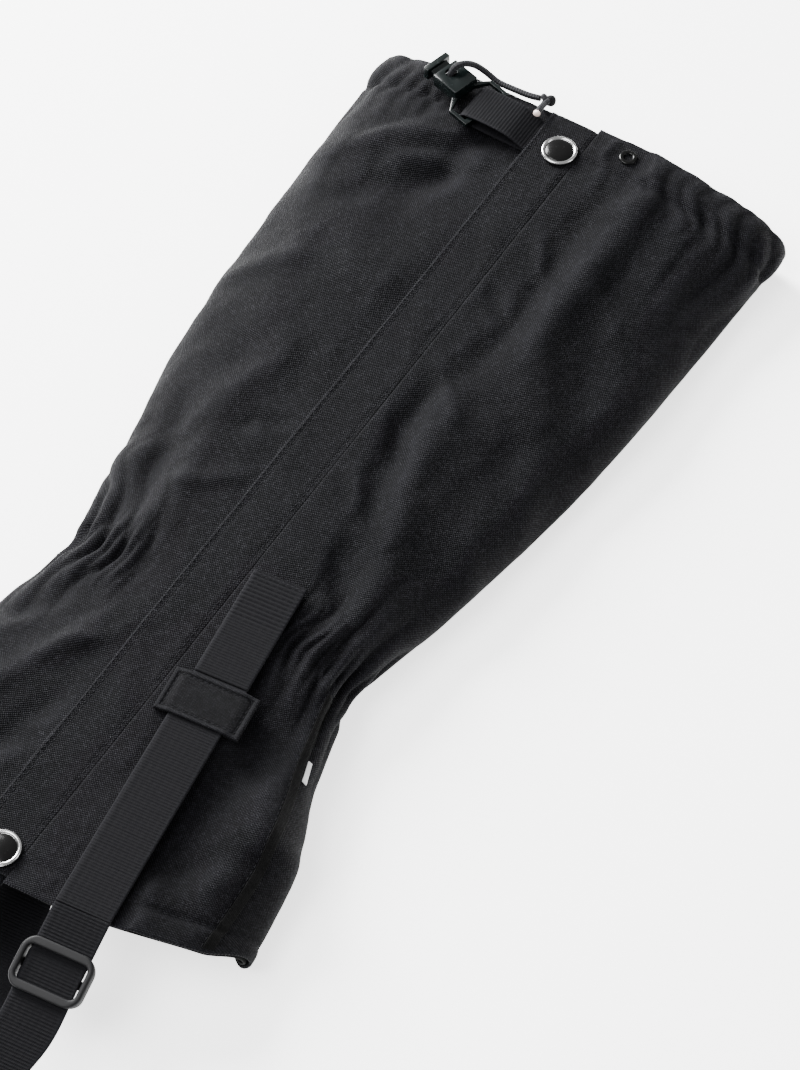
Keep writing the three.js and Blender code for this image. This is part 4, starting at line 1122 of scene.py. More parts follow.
keep(tape_base("hook_tape_backing", *HOOK_TAPE_Z, pile_tape), "root", "tape", "hook_tape")
x, y = np.meshgrid(np.arange(TAPE_X[0] + 1, TAPE_X[1] - 0.5, HOOK_SPACING),
                   np.arange(TAPE_Y[0] + 1, TAPE_Y[1], HOOK_SPACING))
spots = np.stack([x, y, 0 * x + HOOK_TAPE_Z[1] - 0.01], -1).reshape(-1, 3)
hook_rows = run_recipe(hooks, make("hook_spots", spots, [], pile_tape), "hook_tape_hooks", {
    "Hook height": HOOK_HEIGHT * MM, "Finish": pile_tape})
keep(hook_rows, "root", "tape")
keep(tape_base("loop_tape_pile", *LOOP_TAPE_Z, pile_tape), "front_flap", "tape", "loop_tape")
print("hooks:", len(spots))

# %% [markdown]
# Webbing is a flat band with a rib every millimetre or so. A curve with a flat bevel would make a
# band quickly, but a smooth one. So a section is swept along the route and its thickness rises
# and falls with the ribs. Its edges are rounded and a little thicker, as a selvedge is.


# %% Webbing
def even_line(route, step=0.3):
    """A smooth line through the route with evenly spaced points, and the length up to each."""
    line = smooth_route(route, step)
    run = lengths_along(line)
    even = np.arange(0, run[-1], step)
    return np.stack([np.interp(even, run, line[:, k]) for k in range(3)], -1), even


def ribbed(even, rib, depth):
    """The ribs' heights along a band."""
    return depth * (np.abs(np.sin(math.pi * even / rib)) - 1)


def webbing(name, route, across, width, thick, rib=1.4, depth=0.3, bold=None, rows=slice(None),
            cut=(True, True)):
    """A ribbed band along a route. bold gives (start, end, rib, depth) for a coarser stretch, rows
    takes only that part of the band, and cut says which ends are cut and pressed thin."""
    line, even = even_line(route)
    across = np.asarray(across, float) / np.linalg.norm(across)
    tangent = np.gradient(line, axis=0)
    tangent /= np.linalg.norm(tangent, axis=1)[:, None]
    up = np.cross(across, tangent)
    up /= np.linalg.norm(up, axis=1)[:, None]
    ribs = ribbed(even, rib, depth)
    if bold:
        start, end, coarse, deep = bold
        share = ease(even, start - 1, start + 1) * (1 - ease(even, end - 1, end + 1))
        ribs = ribs * (1 - share) + share * ribbed(even, coarse, deep)
    whole = np.ones_like(even)
    from_end = np.minimum(even if cut[0] else whole, even[-1] - even if cut[1] else whole)
    taper = np.minimum(1, 0.72 + 0.28 * from_end / 0.8)
    line, up, ribs, taper, even = (values[rows] for values in (line, up, ribs, taper, even))
    face = [(a, 1 + 0.10 * (abs(a) > 0.85)) for a in np.linspace(-0.93, 0.93, 15)]
    profile = [(-1.0, 0.0), (-0.985, 0.62), *face, (0.985, 0.62), (1.0, 0.0)]
    ring = profile + [(a, -b) for a, b in profile[-2:0:-1]]
    points, uv = [], []
    for p, n, rib_here, end_here, s in zip(line, up, ribs, taper, even):
        for a, b in ring:
            inside = abs(a) < 0.96
            height = b * (thick / 2) * end_here + (np.sign(b) * rib_here * inside)
            points.append(p + across * (a * width / 2) + n * height)
            uv.append((a * width / 2 + (50 if b < 0 else 0), s))
    count, sides = len(line), len(ring)
    faces = ring_faces(count, sides)
    faces.append(tuple(range(sides)))
    faces.append(tuple((count - 1) * sides + j for j in range(sides)))
    worn = [0.5 * (abs(a) > 0.9) for a, b in ring] * count
    return outward(make(name, points, faces, strap_webbing, uv, worn))


print("one rib of webbing: %.2f mm deep" % -ribbed(0, 1.4, 0.3))

# %% [markdown]
# The strap is three lengths of one webbing: a loose end above the keeper, with a coarser pattern
# in its middle, the length sewn down to the boot hem, and the loop under the boot. One band could
# follow the whole route, but the loose end moves with a body of its own, so each is its own piece.

# %% The strap on the sleeve
STRAP_PLACE = np.array((31.5, -46.0, 0.0))
STRAP_Z = 39.3
STRAP_WIDTH, STRAP_THICK = 25, 1.4
strap_axes = np.array([
    (math.cos(STRAP_TURN), math.sin(STRAP_TURN), 0),
    (-math.sin(STRAP_TURN), math.cos(STRAP_TURN), 0),
    (0, 0, 1),
])


def on_strap(x, y, z):
    """A point of the strap's own frame (across, along, up) in the gaiter's frame."""
    return STRAP_PLACE + np.array((x, y, z)) @ strap_axes


TAIL_START, TAIL_END = 12.3, 68
HEM_REACH = -106.8
COARSE_STRETCH = (30, 55, 2.1, 0.42)
tail_route = [on_strap(0, y, STRAP_Z) for y in (TAIL_START, 30, 50, TAIL_END)]
tail = keep(webbing("strap_tail_band", tail_route, strap_axes[0], STRAP_WIDTH, STRAP_THICK,
                    bold=COARSE_STRETCH), "strap_tail", "webbing", "strap_tail")
upper_route = [on_strap(0, y, STRAP_Z) for y in (12, -30, -70, HEM_REACH)]
upper = keep(webbing("strap_upper_band", upper_route, strap_axes[0], STRAP_WIDTH, STRAP_THICK,
                     cut=(True, False)), "root", "webbing", "strap_upper")
print("strap on the sleeve: %.0f mm" % (TAIL_END - HEM_REACH))

# %% [markdown]
# The loop leaves the strap at the hem, slopes to the floor, turns back in a round bend and is
# sewn to the back hem. When it swings down, its two ends stay on the sleeve. A rigid loop would
# tear off there, so it is cut at its far bend into two halves.

# %% The loop under the boot
LOOP_DROP, LOOP_RADIUS, LOOP_SHIFT = 104, 7.5, 38
FLOOR_Z = GAP + STRAP_THICK / 2
ANCHOR_Z = WALL + GAP + FACING + GAP + STRAP_THICK / 2
BACK_REACH = HEM_REACH + BACK_HEM_RISE
turn_y = HEM_REACH - LOOP_DROP + LOOP_RADIUS
turn_z = FLOOR_Z + LOOP_RADIUS
loop_top = HEM_REACH - 0.6
slope = math.atan2(STRAP_Z - turn_z - LOOP_RADIUS, loop_top - turn_y)
straight_end = HEM_REACH - 51


def slope_z(y):
    """Height of the loop's upper length."""
    return STRAP_Z - (loop_top - y) * math.tan(slope)


loop_route = [(0, HEM_REACH, STRAP_Z)]
loop_route += [(0, y, slope_z(y)) for y in ((loop_top + straight_end) / 2, straight_end)]
bend_y = straight_end * 0.6 + turn_y * 0.4
loop_route.append((-LOOP_SHIFT * 0.12, bend_y, slope_z(bend_y)))
for k in range(7):
    angle = math.pi / 2 + k / 6 * math.pi
    loop_route.append((-LOOP_SHIFT * (0.32 + 0.04 * k), turn_y + LOOP_RADIUS * math.cos(angle),
                       turn_z + LOOP_RADIUS * math.sin(angle)))
loop_route += [
    (-LOOP_SHIFT * 0.8, (turn_y + BACK_REACH) / 2, FLOOR_Z),
    (-LOOP_SHIFT * 0.96, BACK_REACH - 16, FLOOR_Z),
    (-LOOP_SHIFT, BACK_REACH - 5, ANCHOR_Z),
]
loop_route = [on_strap(*p) for p in loop_route]
far_row = int(np.argmin((even_line(loop_route)[0] - STRAP_PLACE) @ strap_axes[1]))
loop = webbing("strap_loop_band", loop_route, strap_axes[0], STRAP_WIDTH, STRAP_THICK,
               rows=slice(0, far_row + 1), cut=(False, False))
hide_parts("boot_strap")
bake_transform(loop)
loop_return = webbing("strap_return_band", loop_route, strap_axes[0], STRAP_WIDTH, STRAP_THICK,
                      rows=slice(far_row, None), cut=(False, False))
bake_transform(loop_return)
anchor_route = [on_strap(-LOOP_SHIFT, BACK_REACH + y, ANCHOR_Z) for y in (-4.4, 12, 30)]
anchor = keep(webbing("strap_anchor_band", anchor_route, strap_axes[0], STRAP_WIDTH, STRAP_THICK),
              "root", "webbing", "strap_anchor")
bands = (tail, upper, loop, loop_return, anchor)
print("webbing:", sum(len(band.data.polygons) for band in bands), "faces")

# %% [markdown]
# The keeper is a folded patch of cloth, sewn down at both sides so that the strap runs under it.
# Its folded border stands proud all round. A bevelled slab would look moulded, so it is one
# closed skin between an upper grid, with the border, a groove and a sag in it, and a lower one
# over the strap.

# %% Keeper
KEEPER_WIDE, KEEPER_LONG = 39, 22
KEEPER_FACE, KEEPER_SLOT, KEEPER_LOW = 40.85, 40.32, 38.62
KEEPER_ROUND = 0.9
SLOT_HALF = 13.1


def between(name, top, bottom, finish, uv, worn):
    """A closed skin between two grids of the same size."""
    rows, columns = top.shape[:2]
    count = rows * columns
    upper_faces = grid_faces(rows, columns)
    faces = upper_faces.tolist() + (upper_faces[:, ::-1] + count).tolist()
    rim = [(0, j) for j in range(columns - 1)] + [(i, columns - 1) for i in range(rows - 1)]
    rim += [(rows - 1, j) for j in range(columns - 1, 0, -1)]
    rim += [(i, 0) for i in range(rows - 1, 0, -1)]
    for (a, b), (c, d) in zip(rim, rim[1:] + rim[:1]):
        p, q = a * columns + b, c * columns + d
        faces.append((p, q, q + count, p + count))
    points = np.concatenate([top.reshape(-1, 3), bottom.reshape(-1, 3)])
    return outward(make(name, points, faces, finish, np.tile(uv.reshape(-1, 2), (2, 1)),
                        np.tile(worn.ravel(), 2)))


def keeper_step(x):
    """How far the keeper comes down beside the strap."""
    return 1.15 * ease(np.abs(x), SLOT_HALF - 0.5, SLOT_HALF + 4.5)


x, y = np.meshgrid(np.linspace(-1, 1, 90) * KEEPER_WIDE / 2,
                   np.linspace(-1, 1, 56) * KEEPER_LONG / 2)
edge_gap = np.minimum(KEEPER_WIDE / 2 - np.abs(x), KEEPER_LONG / 2 - np.abs(y))
border = 0.42 * (1 - ease(edge_gap, 1.7, 2.4)) - 0.35 * np.exp(-((edge_gap - 2.8) / 0.4) ** 2)
from_edge = 1 - np.clip(edge_gap / KEEPER_ROUND, 0, 1)
rounding = KEEPER_ROUND * (1 - np.sqrt(np.clip(1 - from_edge**2, 0, 1)))
sag = 0.25 * noise(x / 8, y / 6, 81)
top_z = KEEPER_FACE - keeper_step(x) + border - rounding + sag * ease(edge_gap, 2, 6)
low_z = np.where(np.abs(x) < SLOT_HALF, KEEPER_SLOT, KEEPER_LOW)
low_z = np.minimum(low_z, top_z - 0.3)
keeper_top = np.stack([x, y, top_z], -1) @ strap_axes + STRAP_PLACE
keeper_low = np.stack([x, y, low_z], -1) @ strap_axes + STRAP_PLACE
keeper_worn = 0.9 * (edge_gap < 1.8) * (edge_gap > 0.3)
keep(between("strap_keeper_patch", keeper_top, keeper_low, keeper_cloth, np.stack([x, y], -1),
             keeper_worn), "root", "fabric", "strap_keeper")
print("keeper stands %.1f mm over the panel" % (top_z.max() - FRONT_Z))

# %% [markdown]
# The hard pieces already have their exact shapes, and modelling them again could only lose some
# of that. A moulded piece has no sharp edges, though, so a copy is merged, its flat faces are
# joined up and a small bevel rounds every edge. The snaps' inner parts keep their shapes and get
# their metal.


# %% Moulded and bent pieces
def softened(node, name, finish, width, body, slot_name):
    """A rounded copy of a hard piece that stands for it."""
    work = bmesh.new()
    work.from_mesh(frame["nodes"][node].data)
    bmesh.ops.remove_doubles(work, verts=work.verts, dist=1e-6)
    bmesh.ops.dissolve_limit(work, angle_limit=math.radians(3), verts=work.verts, edges=work.edges)
    mesh = bpy.data.meshes.new(name)
    work.to_mesh(mesh)
    work.free()
    item = link(bpy.data.objects.new(name, mesh))
    mesh.materials.clear()
    mesh.materials.append(finish)
    bevel = item.modifiers.new("round", "BEVEL")
    bevel.width = width * MM
    bevel.segments = 3
    bevel.limit_method = "ANGLE"
    bevel.angle_limit = math.radians(35)
    bevel.use_clamp_overlap = True
    bpy.context.view_layer.update()
    seen = item.evaluated_get(bpy.context.evaluated_depsgraph_get())
    rounded = bpy.data.meshes.new_from_object(seen)
    item.modifiers.clear()
    item.data = rounded
    rounded.shade_smooth()
    rounded.set_sharp_from_angle(angle=math.radians(40))
    return keep(item, body, slot_name, node)


softened("cord_lock_body", "cord_lock_frame", lock_plastic, 0.5, "root", "lock_plastic")
softened("cord_lock_button", "cord_lock_plunger", lock_plastic, 0.4, "lock_button", "lock_plastic")
softened("lace_hook", "lace_hook_plate", painted_steel, 0.25, "lace_hook", "steel")
for part, finish in (("socket", snap_inner), ("stud", snap_inner), ("backing", bare_steel)):
    for place in ("top", "bottom"):
        materials = frame["nodes"][f"{place}_snap_{part}"].data.materials
        materials.clear()
        materials.append(finish)
print("rounded: cord lock frame, its plunger and the lace hook")

# %% [markdown]
# Inside the cord lock a small coil spring pushes the button out and pinches the cord. A Screw
# modifier could turn its wire, but a helix is one line of arithmetic, between the two ends of the
# space that the model keeps for it.

# %% Cord lock spring
SPRING_LONG, COIL_R, WIRE_R, COIL_TURNS = 4.9, 1.12, 0.24, 5.5
press = np.array(next(j["axis"] for j in frame["joints"] if j["name"] == "lock_press"), float)
sideways = np.array((-press[1], press[0], 0.0))
spring_low, spring_high = (np.array(corner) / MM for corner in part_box("cord_lock_spring"))
spring_middle = (spring_low + spring_high) / 2
coil = []
for t in np.linspace(0.04, 0.96, 100):
    angle = 2 * math.pi * COIL_TURNS * t
    round_axis = math.cos(angle) * sideways + math.sin(angle) * np.array((0, 0, 1))
    coil.append(spring_middle + press * SPRING_LONG * (t - 0.5) + COIL_R * round_axis)
spring = keep(tube("cord_lock_coil", coil, WIRE_R, bare_steel, 8),
              "root", "steel", "cord_lock_spring")
spring_seat = spring_middle + press * SPRING_LONG / 2
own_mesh(spring)
print("spring of %.1f turns" % COIL_TURNS)

# %% [markdown]
# The slider is one moulding: a frame with round corners and a bar across its middle. The webbing
# passes over the middle bar and under the two end bars. Bevelling the hard frame would keep its
# square corners, so a rounded section is carried round the outline, tall and narrow along the
# sides, low and wide at the ends.

# %% Strap slider
SLIDER_LONG, SLIDER_WIDE = 22.4, 32.4
SLIDER_RAIL, SLIDER_BAR, BAR_THICK = 2.9, 3.7, 1.7
SLIDER_CORNER = 4.6
BAR_Z = STRAP_THICK / 2 + GAP + BAR_THICK / 2
RAIL_HALF_HEIGHT = BAR_Z + BAR_THICK / 2
BAR_OVERLAP = 0.6
slider_y = HEM_REACH - 26


def on_slider(x, y, z):
    """A point of the slider's own frame in the gaiter's frame."""
    return on_strap(x, slider_y + y * math.cos(slope) - z * math.sin(slope),
                    slope_z(slider_y) + y * math.sin(slope) + z * math.cos(slope))


def rounded_section(count=20):
    """A soft-cornered ring from -1 to 1 across and up."""
    ring = []
    for a in np.linspace(0, 2 * math.pi, count, endpoint=False):
        c, s = math.cos(a), math.sin(a)
        ring.append((math.copysign(abs(c) ** 0.6, c), math.copysign(abs(s) ** 0.6, s)))
    return ring


def slider_outline():
    """Middle line of the frame: place, outward direction and how far it belongs to an end bar."""
    half_x = (SLIDER_WIDE - SLIDER_RAIL) / 2
    half_y = (SLIDER_LONG - SLIDER_BAR) / 2
    stops = []
    for k, (sx, sy) in enumerate(((1, 1), (-1, 1), (-1, -1), (1, -1))):
        cx, cy = sx * (half_x - SLIDER_CORNER), sy * (half_y - SLIDER_CORNER)
        for t in np.linspace(0, 1, 9):
            a = math.pi / 2 * (k + t)
            end = t if sx * sy > 0 else 1 - t
            nx, ny = math.cos(a), math.sin(a)
            place = (cx + SLIDER_CORNER * nx, cy + SLIDER_CORNER * ny)
            stops.append((place, (nx, ny), float(ease(end, 0.25, 1.0))))
    return stops


points = []
section_ring = rounded_section()
outline = slider_outline()
sides = len(section_ring)
for (px, py), (nx, ny), end in outline:
    half_wide = SLIDER_RAIL / 2 * (1 - end) + SLIDER_BAR / 2 * end
    half_high = RAIL_HALF_HEIGHT * (1 - end) + BAR_THICK / 2 * end
    for a, b in section_ring:
        out = a * half_wide
        points.append(on_slider(px + nx * out, py + ny * out, end * BAR_Z + b * half_high))
faces = ring_faces(len(outline), sides, closed=True)
start = len(points)
bar_stops = np.linspace(-1, 1, 7) * (SLIDER_WIDE / 2 - SLIDER_RAIL + BAR_OVERLAP)
for x in bar_stops:
    points += [on_slider(x, a * SLIDER_BAR / 2, -BAR_Z + b * BAR_THICK / 2)
               for a, b in section_ring]
faces += ring_faces(len(bar_stops), sides, start=start)
last = start + (len(bar_stops) - 1) * sides
faces += [tuple(range(start, start + sides)), tuple(range(last, last + sides))]
keep(outward(make("strap_slider_frame", points, faces, slider_plastic)),
     "slider", "plastic", "strap_slider")
print("slider %.0f x %.0f mm" % (SLIDER_WIDE, SLIDER_LONG))

# %% [markdown]
# A snap's cap is pressed sheet metal: a rolled rim and a black enamelled dome, with a fine groove
# between them. The rim gets a bright metal finish, a painted reflection of the light that runs
# round its roll. A squashed sphere would have no rim, and a Screw modifier would leave one finish
# all over. Turning a profile by hand gives each step of it a finish of its own.


# %% Snap caps and eyelet
def turned(name, centre, profile, finishes, bands, steps=72):
    """A round piece from a closed profile of (radius, height), with a finish for each step."""
    cx, cy = centre
    points = [(cx + r * math.cos(a), cy + r * math.sin(a), z) for r, z in profile
              for a in np.linspace(0, 2 * math.pi, steps, endpoint=False)]
    item = make(name, points, ring_faces(len(profile), steps, closed=True), finishes[0])
    for finish in finishes[1:]:
        item.data.materials.append(finish)
    item.data.polygons.foreach_set("material_index", np.repeat(bands, steps).tolist())
    work = bmesh.new()
    work.from_mesh(item.data)
    bmesh.ops.remove_doubles(work, verts=work.verts, dist=2e-5)
    bmesh.ops.recalc_face_normals(work, faces=work.faces)
    work.to_mesh(item.data)
    work.free()
    item.data.shade_smooth()
    return item


CAP_R, RIM_R = 8.5, 0.95
DOME_R, DOME_HIGH = 6.7, 1.3
CAP_Z = FRONT_Z + GAP
ENAMEL, RIM = 0, 1
cap_profile, cap_bands = [], []
for angle in np.radians(np.linspace(-90, 150, 15)):
    cap_profile.append((CAP_R - RIM_R + RIM_R * math.cos(angle),
                        CAP_Z + RIM_R + RIM_R * math.sin(angle)))
    cap_bands.append(RIM)
for angle in np.radians(np.linspace(8, 88, 12)):
    cap_profile.append((DOME_R * math.cos(angle), CAP_Z + 1.0 + DOME_HIGH * math.sin(angle)))
    cap_bands.append(ENAMEL)
cap_profile += [(0.01, CAP_Z + 1.0 + DOME_HIGH), (0.01, CAP_Z)]
cap_bands += [ENAMEL, RIM]
for name, y in (("top", TOP_SNAP_Y), ("bottom", BOTTOM_SNAP_Y)):
    keep(turned(f"{name}_snap_dome", (SNAP_X, y), cap_profile, (snap_enamel, snap_rim_painted_reflection), cap_bands),
         "front_flap", "snap_metal", f"{name}_snap_cap")
eyelet_low, eyelet_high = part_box("casing_eyelet")
eyelet_centre = ((eyelet_low + eyelet_high) / 2 / MM)[:2]
eyelet_z = eyelet_low.z / MM
EYELET_R, EYELET_ROLL, EYELET_STEPS = 3.15, 1.05, 16
ring = [(EYELET_R + EYELET_ROLL * math.cos(a), eyelet_z + 0.5 + 0.5 * math.sin(a))
        for a in np.linspace(0, 2 * math.pi, EYELET_STEPS, endpoint=False)]
keep(turned("casing_eyelet_ring", eyelet_centre, ring, (snap_enamel,), [0] * EYELET_STEPS, 48),
     "root", "snap_metal", "casing_eyelet")
print("snap caps %.0f mm across, eyelet %.1f mm" % (2 * CAP_R, 2 * (EYELET_R + EYELET_ROLL)))

# %% [markdown]
# The cord lock hangs from a webbing tab that passes round its bar and goes back under the flap.
# The tab is the same ribbed band as the strap, only narrower and laid along a route that doubles
# back. The lace hook's tab is a short straight piece of it.

# %% Cord lock tab and lace hook tab
TAB_Y, TAB_WIDTH, TAB_THICK = 290, 20, 1.0
TAB_LOW_Z, TAB_HIGH_Z, TAB_OVER_BAR = 34.8, 36.1, 40.3
tab_places = [
    (-9, TAB_HIGH_Z), (-14.5, TAB_HIGH_Z), (-26.5, TAB_OVER_BAR), (-46.5, TAB_OVER_BAR),
    (-48.7, TAB_OVER_BAR - 0.8), (-50.0, (TAB_OVER_BAR + TAB_LOW_Z) / 2),
    (-48.7, TAB_LOW_Z + 0.5), (-42, TAB_LOW_Z), (-9, TAB_LOW_Z),
]
keep(webbing("cord_lock_tab_band", [(x, TAB_Y, z) for x, z in tab_places], (0, 1, 0),
             TAB_WIDTH, TAB_THICK, rib=1.5, depth=0.2), "root", "webbing", "cord_lock_tab")
HOOK_TAB_X, HOOK_TAB_WIDTH = -3, 12
low, high = (np.array(corner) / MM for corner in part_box("hook_tab"))
middle = (low + high) / 2
hook_tab_route = [(HOOK_TAB_X, y, middle[2]) for y in (low[1], middle[1], high[1])]
keep(webbing("lace_hook_tab_band", hook_tab_route, (1, 0, 0), HOOK_TAB_WIDTH, TAB_THICK),
     "root", "webbing", "hook_tab")
print("tabs: %d and %d mm wide" % (TAB_WIDTH, HOOK_TAB_WIDTH))

# %% [markdown]
# A tape covers the heel seam, and a small reflective label is sewn beside it. They could be flat
# strips with a Shrinkwrap modifier, but that slides over sharp puffs. Both are cut from the right
# panel's own surface and lifted a little, so they follow its gathers exactly.


# %% Strips that lie on a panel
HEEL_SHARES = (0.88, 0.95)


def seam_share(y):
    """The heel seam's place, as a share of the half width."""
    return HEEL_SHARES[0] + (HEEL_SHARES[1] - HEEL_SHARES[0]) * (1 - y / HEM_Y)


def rows_between(skin, low, high):
    """The rows of a panel between two heights."""
    levels = skins[skin][0]
    return np.where((levels >= low) & (levels <= high))[0]


def row_place(row, wanted):
    """Where a row passes a distance from the middle: two columns and the share between them."""
    x = np.abs(row[:, 0])
    widest = int(np.argmax(x))
    place = np.interp(wanted, x[:widest + 1], np.arange(widest + 1))
    before = int(place)
    return before, min(before + 1, len(row) - 1), place - before


def heel_strip(name, shares, heights, finish, lift, thick, columns=12):
    """A strip of the right panel's outside, between two shares beside the heel seam."""
    levels, outer, normal = skins["sleeve_right_panel"]
    rows = rows_between("sleeve_right_panel", *heights)
    points, normals, uv = [], [], []
    for i in rows:
        near, far = (seam_share(levels[i]) + share for share in shares)
        for wanted in np.linspace(near, far, columns) * half_width(levels[i]):
            a, b, t = row_place(outer[i], wanted)
            n = normal[i, a] * (1 - t) + normal[i, b] * t
            n /= np.linalg.norm(n)
            points.append(outer[i, a] * (1 - t) + outer[i, b] * t + n * lift)
            normals.append(n)
            uv.append((wanted, levels[i]))
    shape = (len(rows), columns)
    return cloth(name, finish, np.array(points).reshape(*shape, 3),
                 np.array(normals).reshape(*shape, 3), thick, np.array(uv).reshape(*shape, 2),
                 np.zeros(shape), ends="flat")


keep(heel_strip("heel_seam_strip", (-0.02, 0.015), (HEM_Y + 1, -10), lining_cloth, 0.75, 0.6),
     "root", "lining", "heel_seam_tape")
keep(heel_strip("reflective_label", (0.022, 0.042), (HEM_Y * 0.34, INSTEP_Y), reflective_film,
                0.7, 0.5), "root", "trim", "reflective_tab")
print("heel seam at %.2f of the half width at the hem" % seam_share(HEM_Y))

# %% [markdown]
# Stitches repeat along every seam. In a bump map they would vanish in a close view, and hundreds
# of copies laid by hand would be slow to change. One tree turns a line into a row of small
# rounded stitches, each laid along the line, and it serves every seam: only the line, the pitch
# and the stitch's size change.

# %% The stitch recipe
stitching = Recipe("stitch_row")
pitch = stitching.input("Pitch", "NodeSocketFloat")
stitch_size = stitching.input("Stitch size", "NodeSocketVector")
thread = stitching.input("Thread", "NodeSocketMaterial")
line = stitching.add("GeometryNodeMeshToCurve", None, {0: stitching.start.outputs[0]})
even = stitching.add("GeometryNodeResampleCurve", {"mode": "LENGTH"}, {
    "Curve": line.outputs[0], "Length": pitch})
ball = stitching.add("GeometryNodeMeshUVSphere", None, {"Segments": 6, "Rings": 4, "Radius": 1.0})
along_line = stitching.add("FunctionNodeAlignRotationToVector", {"axis": "Z"}, {
    "Vector": stitching.add("GeometryNodeInputTangent").outputs[0]})
laid = stitching.add("GeometryNodeInstanceOnPoints", None, {
    "Points": even.outputs[0], "Instance": ball.outputs["Mesh"], "Rotation": along_line.outputs[0],
    "Scale": stitch_size})
stitching.finish(laid.outputs[0], thread)
print("recipe for the stitches:", len(stitching.tree.nodes), "nodes")

# %% Rows of stitches
def stitches(name, lines, body, slot_name, pitch_mm=3.1, long_mm=2.1, thick_mm=0.42):
    """Rows of stitches along lines in millimetres, as one piece."""
    points, edges = [], []
    for route in lines:
        start = len(points)
        points += [tuple(p) for p in route]
        edges += [(start + i, start + i + 1) for i in range(len(route) - 1)]
    mesh = bpy.data.meshes.new(name + "_line")
    mesh.from_pydata((np.array(points) * MM).tolist(), edges, [])
    source = link(bpy.data.objects.new(name + "_line", mesh))
    half = (thick_mm / 2 * MM, thick_mm / 2 * MM, long_mm / 2 * MM)
    made = run_recipe(stitching, source, name, {
        "Pitch": pitch_mm * MM, "Stitch size": half, "Thread": sewing_thread})
    made.data.materials.clear()
    made.data.materials.append(sewing_thread)
    return keep(made, body, slot_name)


def across_skin(skin, y, lift=0.08, part=(0.0, 1.0)):
    """A line round a panel at one height."""
    levels, outer, normal = skins[skin]
    i = int(np.argmin(np.abs(levels - y)))
    count = outer.shape[1]
    first, last = int(part[0] * (count - 1)), int(part[1] * (count - 1))
    return (outer[i] + normal[i] * lift)[first:last + 1]


def up_flap(x):
    """A line up the flap, clear of its ends."""
    y = np.linspace(FLAP_LOW + 2, FLAP_HIGH - 2, 400)
    side = np.full_like(y, x)
    return np.stack([side, y, FRONT_Z + flap_lift(side, y) + 0.1], -1)


def up_heel(beside, low, high, lift=0.1):
    """A line up the right panel beside the heel seam."""
    levels, outer, normal = skins["sleeve_right_panel"]
    line = []
    for i in rows_between("sleeve_right_panel", low, high):
        wanted = (seam_share(levels[i]) + beside) * half_width(levels[i])
        a, b, t = row_place(outer[i], wanted)
        line.append(outer[i, a] * (1 - t) + outer[i, b] * t + normal[i, a] * lift)
    return line


def on_keeper(inset):
    """A line round the keeper inside its border."""
    wide, long = KEEPER_WIDE / 2 - inset, KEEPER_LONG / 2 - inset
    corners = [(-wide, -long), (wide, -long), (wide, long), (-wide, long), (-wide, -long)]
    route = []
    for (x0, y0), (x1, y1) in zip(corners, corners[1:]):
        for t in np.linspace(0, 1, 30):
            x, y = x0 + (x1 - x0) * t, y0 + (y1 - y0) * t
            route.append(on_strap(x, y, KEEPER_FACE - keeper_step(x) - 0.1))
    return route


def straight(low, high):
    """Places along a short straight seam."""
    return np.linspace(low, high, 20)


CASING_SEAM_Y, HEM_SEAM_Y = 289.6, HEM_Y + SEAM_IN
ELASTIC_SEAM_Y, BAND_HALF = 9.5, 11
stitches("flap_stitches", [up_flap(x) for x in FLAP_SEAMS], "front_flap", "fabric")
for which, start in (("left", 0.13), ("right", 0.0)):
    skin = f"sleeve_{which}_panel"
    stitches(f"top_casing_stitches_{which}", [across_skin(skin, CASING_SEAM_Y, part=(start, 0.99))],
             "root", "fabric")
    stitches(f"boot_hem_stitches_{which}", [across_skin(skin, HEM_SEAM_Y, part=(start, 0.99))],
             "root", "fabric")
    stitches(f"ankle_stitches_{which}", [across_skin(skin, y, part=(0.38, 0.97))
                                         for y in (-ELASTIC_SEAM_Y, ELASTIC_SEAM_Y)],
             "root", "fabric")
for name, y in (("top", CASING_SEAM_Y), ("boot", HEM_SEAM_Y)):
    stitches(f"{name}_hem_stitches_back", [across_skin("sleeve_back_panel", y)], "root", "fabric")
stitches("heel_seam_stitches", [up_heel(-0.024, HEM_Y + 2, -12)], "root", "fabric")
stitches("keeper_stitches", [on_keeper(2.8)], "root", "fabric", 2.6, 1.8, 0.4)
stitches("tab_stitches", [[(x, y, z) for y in straight(TAB_Y - 8, TAB_Y + 8)]
                          for x, z in ((-24, 39.7), (-22.2, 39.2))],
         "root", "webbing", 2.4, 1.7, 0.4)
stitches("tail_stitches", [[on_strap(x, TAIL_END - 1.8, STRAP_Z + 0.62)
                            for x in straight(-BAND_HALF, BAND_HALF)]],
         "strap_tail", "webbing", 2.2, 1.6, 0.4)
stitches("anchor_stitches", [[on_strap(x - LOOP_SHIFT, BACK_REACH + y, ANCHOR_Z + 0.66)
                              for x in straight(-BAND_HALF, BAND_HALF)] for y in (8, 26)],
         "root", "webbing", 2.4, 1.7, 0.4)

# %% [markdown]
# The drawcord inside the casing shows only at the casing's mouths, so it could be left out, but a
# look into the sleeve would miss it. It follows the same ring as the hard model's and gets the
# braid.

# %% Drawcord in its casing
CORD_INSET = WALL + FACING + CORD_R
CASING_Y = 299.0


def casing_points(which, part):
    """The cord's way inside one side panel."""
    side, crest, inner_x = SIDES[which]
    x, z, _, _ = section(side, CASING_Y, crest, inner_x, CORD_INSET, 60, part)
    return [(a, CASING_Y, b) for a, b in zip(x, z)]


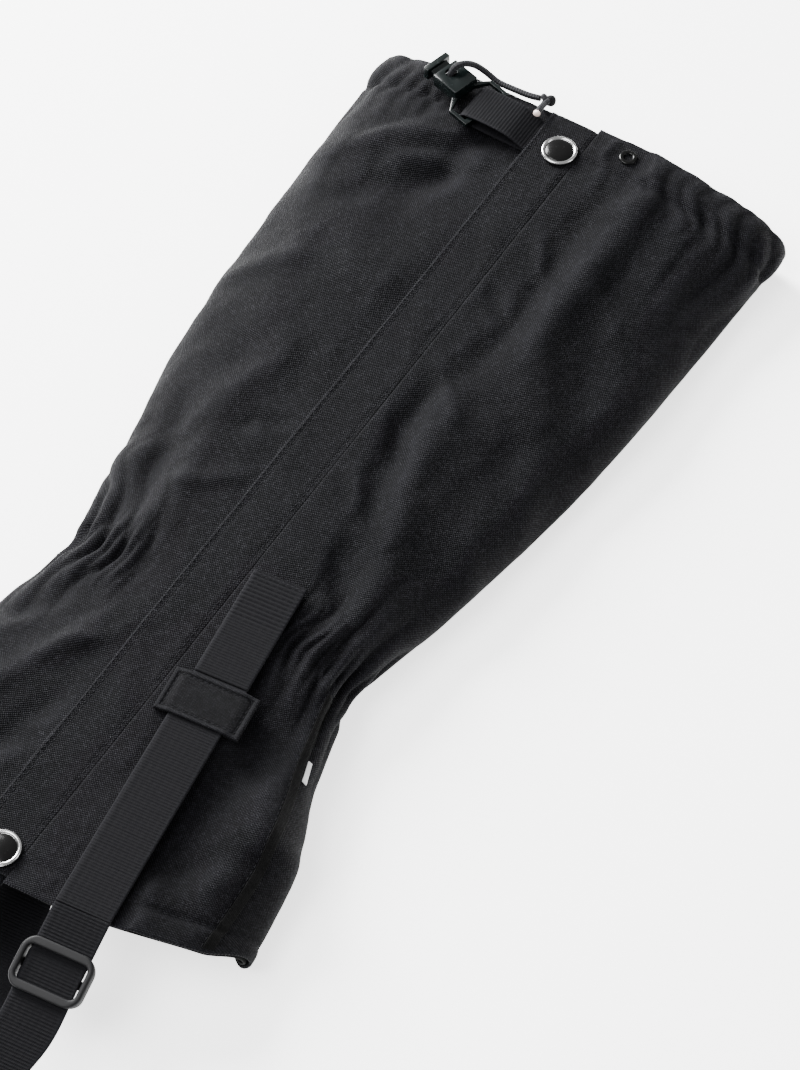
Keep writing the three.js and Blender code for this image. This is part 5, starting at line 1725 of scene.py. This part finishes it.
x, z, _ = back_section(CASING_Y, CORD_INSET, 40)
casing_route = casing_points("right", (0.13, 0.99))
casing_route += [(a, CASING_Y, b) for a, b in zip(x[-2:0:-1], z[-2:0:-1])]
casing_route += casing_points("left", (0.43, 0.99))[::-1]
drawcord = tube("drawcord_in_casing", smooth_route(casing_route, 2.0), CORD_R, cord_braid, 12)
keep(drawcord, "root", "cord", "drawcord")
print("drawcord in the casing: %.0f mm" % lengths_along(np.array(casing_route))[-1])

# %% [markdown]
# The floor is a plain pale sheet that glows a little, so that it stays near white under a light
# that suits black cloth. The light comes from large soft panels: a strong one from the left,
# which brings out the folds on the left of the sleeve, and weaker ones from above and from the
# right. One small lamp would be simpler, but its hard shadows would hide the weave.


# %% Floor and light
def soft_light(name, place, aim, size, watts):
    """A large soft panel of light aimed at a point."""
    lamp = link(bpy.data.objects.new(name, bpy.data.lights.new(name, "AREA")))
    lamp.data.shape = "RECTANGLE"
    lamp.data.size, lamp.data.size_y = size
    lamp.data.energy = watts
    lamp.location = place
    lamp.rotation_euler = (Vector(aim) - Vector(place)).to_track_quat("-Z", "Y").to_euler()


paper = Finish("pale_paper", Specular_IOR_Level=0.1, Emission_Color=grey(1.0),
               Emission_Strength=2.0)
paper.paint(colour=paper.blend(paper.noise(60, 2.0), grey(0.96), grey(0.99)), roughness=0.9)
FLOOR_HALF, FLOOR_LOW = 30000, -0.4
corners = [(x * FLOOR_HALF, y * FLOOR_HALF, FLOOR_LOW)
           for x, y in ((-1, -1), (1, -1), (1, 1), (-1, 1))]
floor = make("floor", corners, [(0, 1, 2, 3)], paper.material)
soft_light("key_light", (-1.55, 0.75, 0.95), (0, 0.08, 0), (0.8, 1.1), 230)
soft_light("high_light", (-0.6, -0.75, 1.7), (0, 0.05, 0), (1.4, 1.0), 60)
soft_light("right_light", (1.5, 0.5, 0.9), (0.05, 0.05, 0), (0.7, 1.1), 10)
world = bpy.data.worlds.new("studio")
world.use_nodes = True
sky = world.node_tree.nodes["Background"]
sky.inputs["Color"].default_value = (1, 1, 1, 1)
sky.inputs["Strength"].default_value = 0.6
bpy.context.scene.world = world
print("lights:", len(bpy.data.lights))
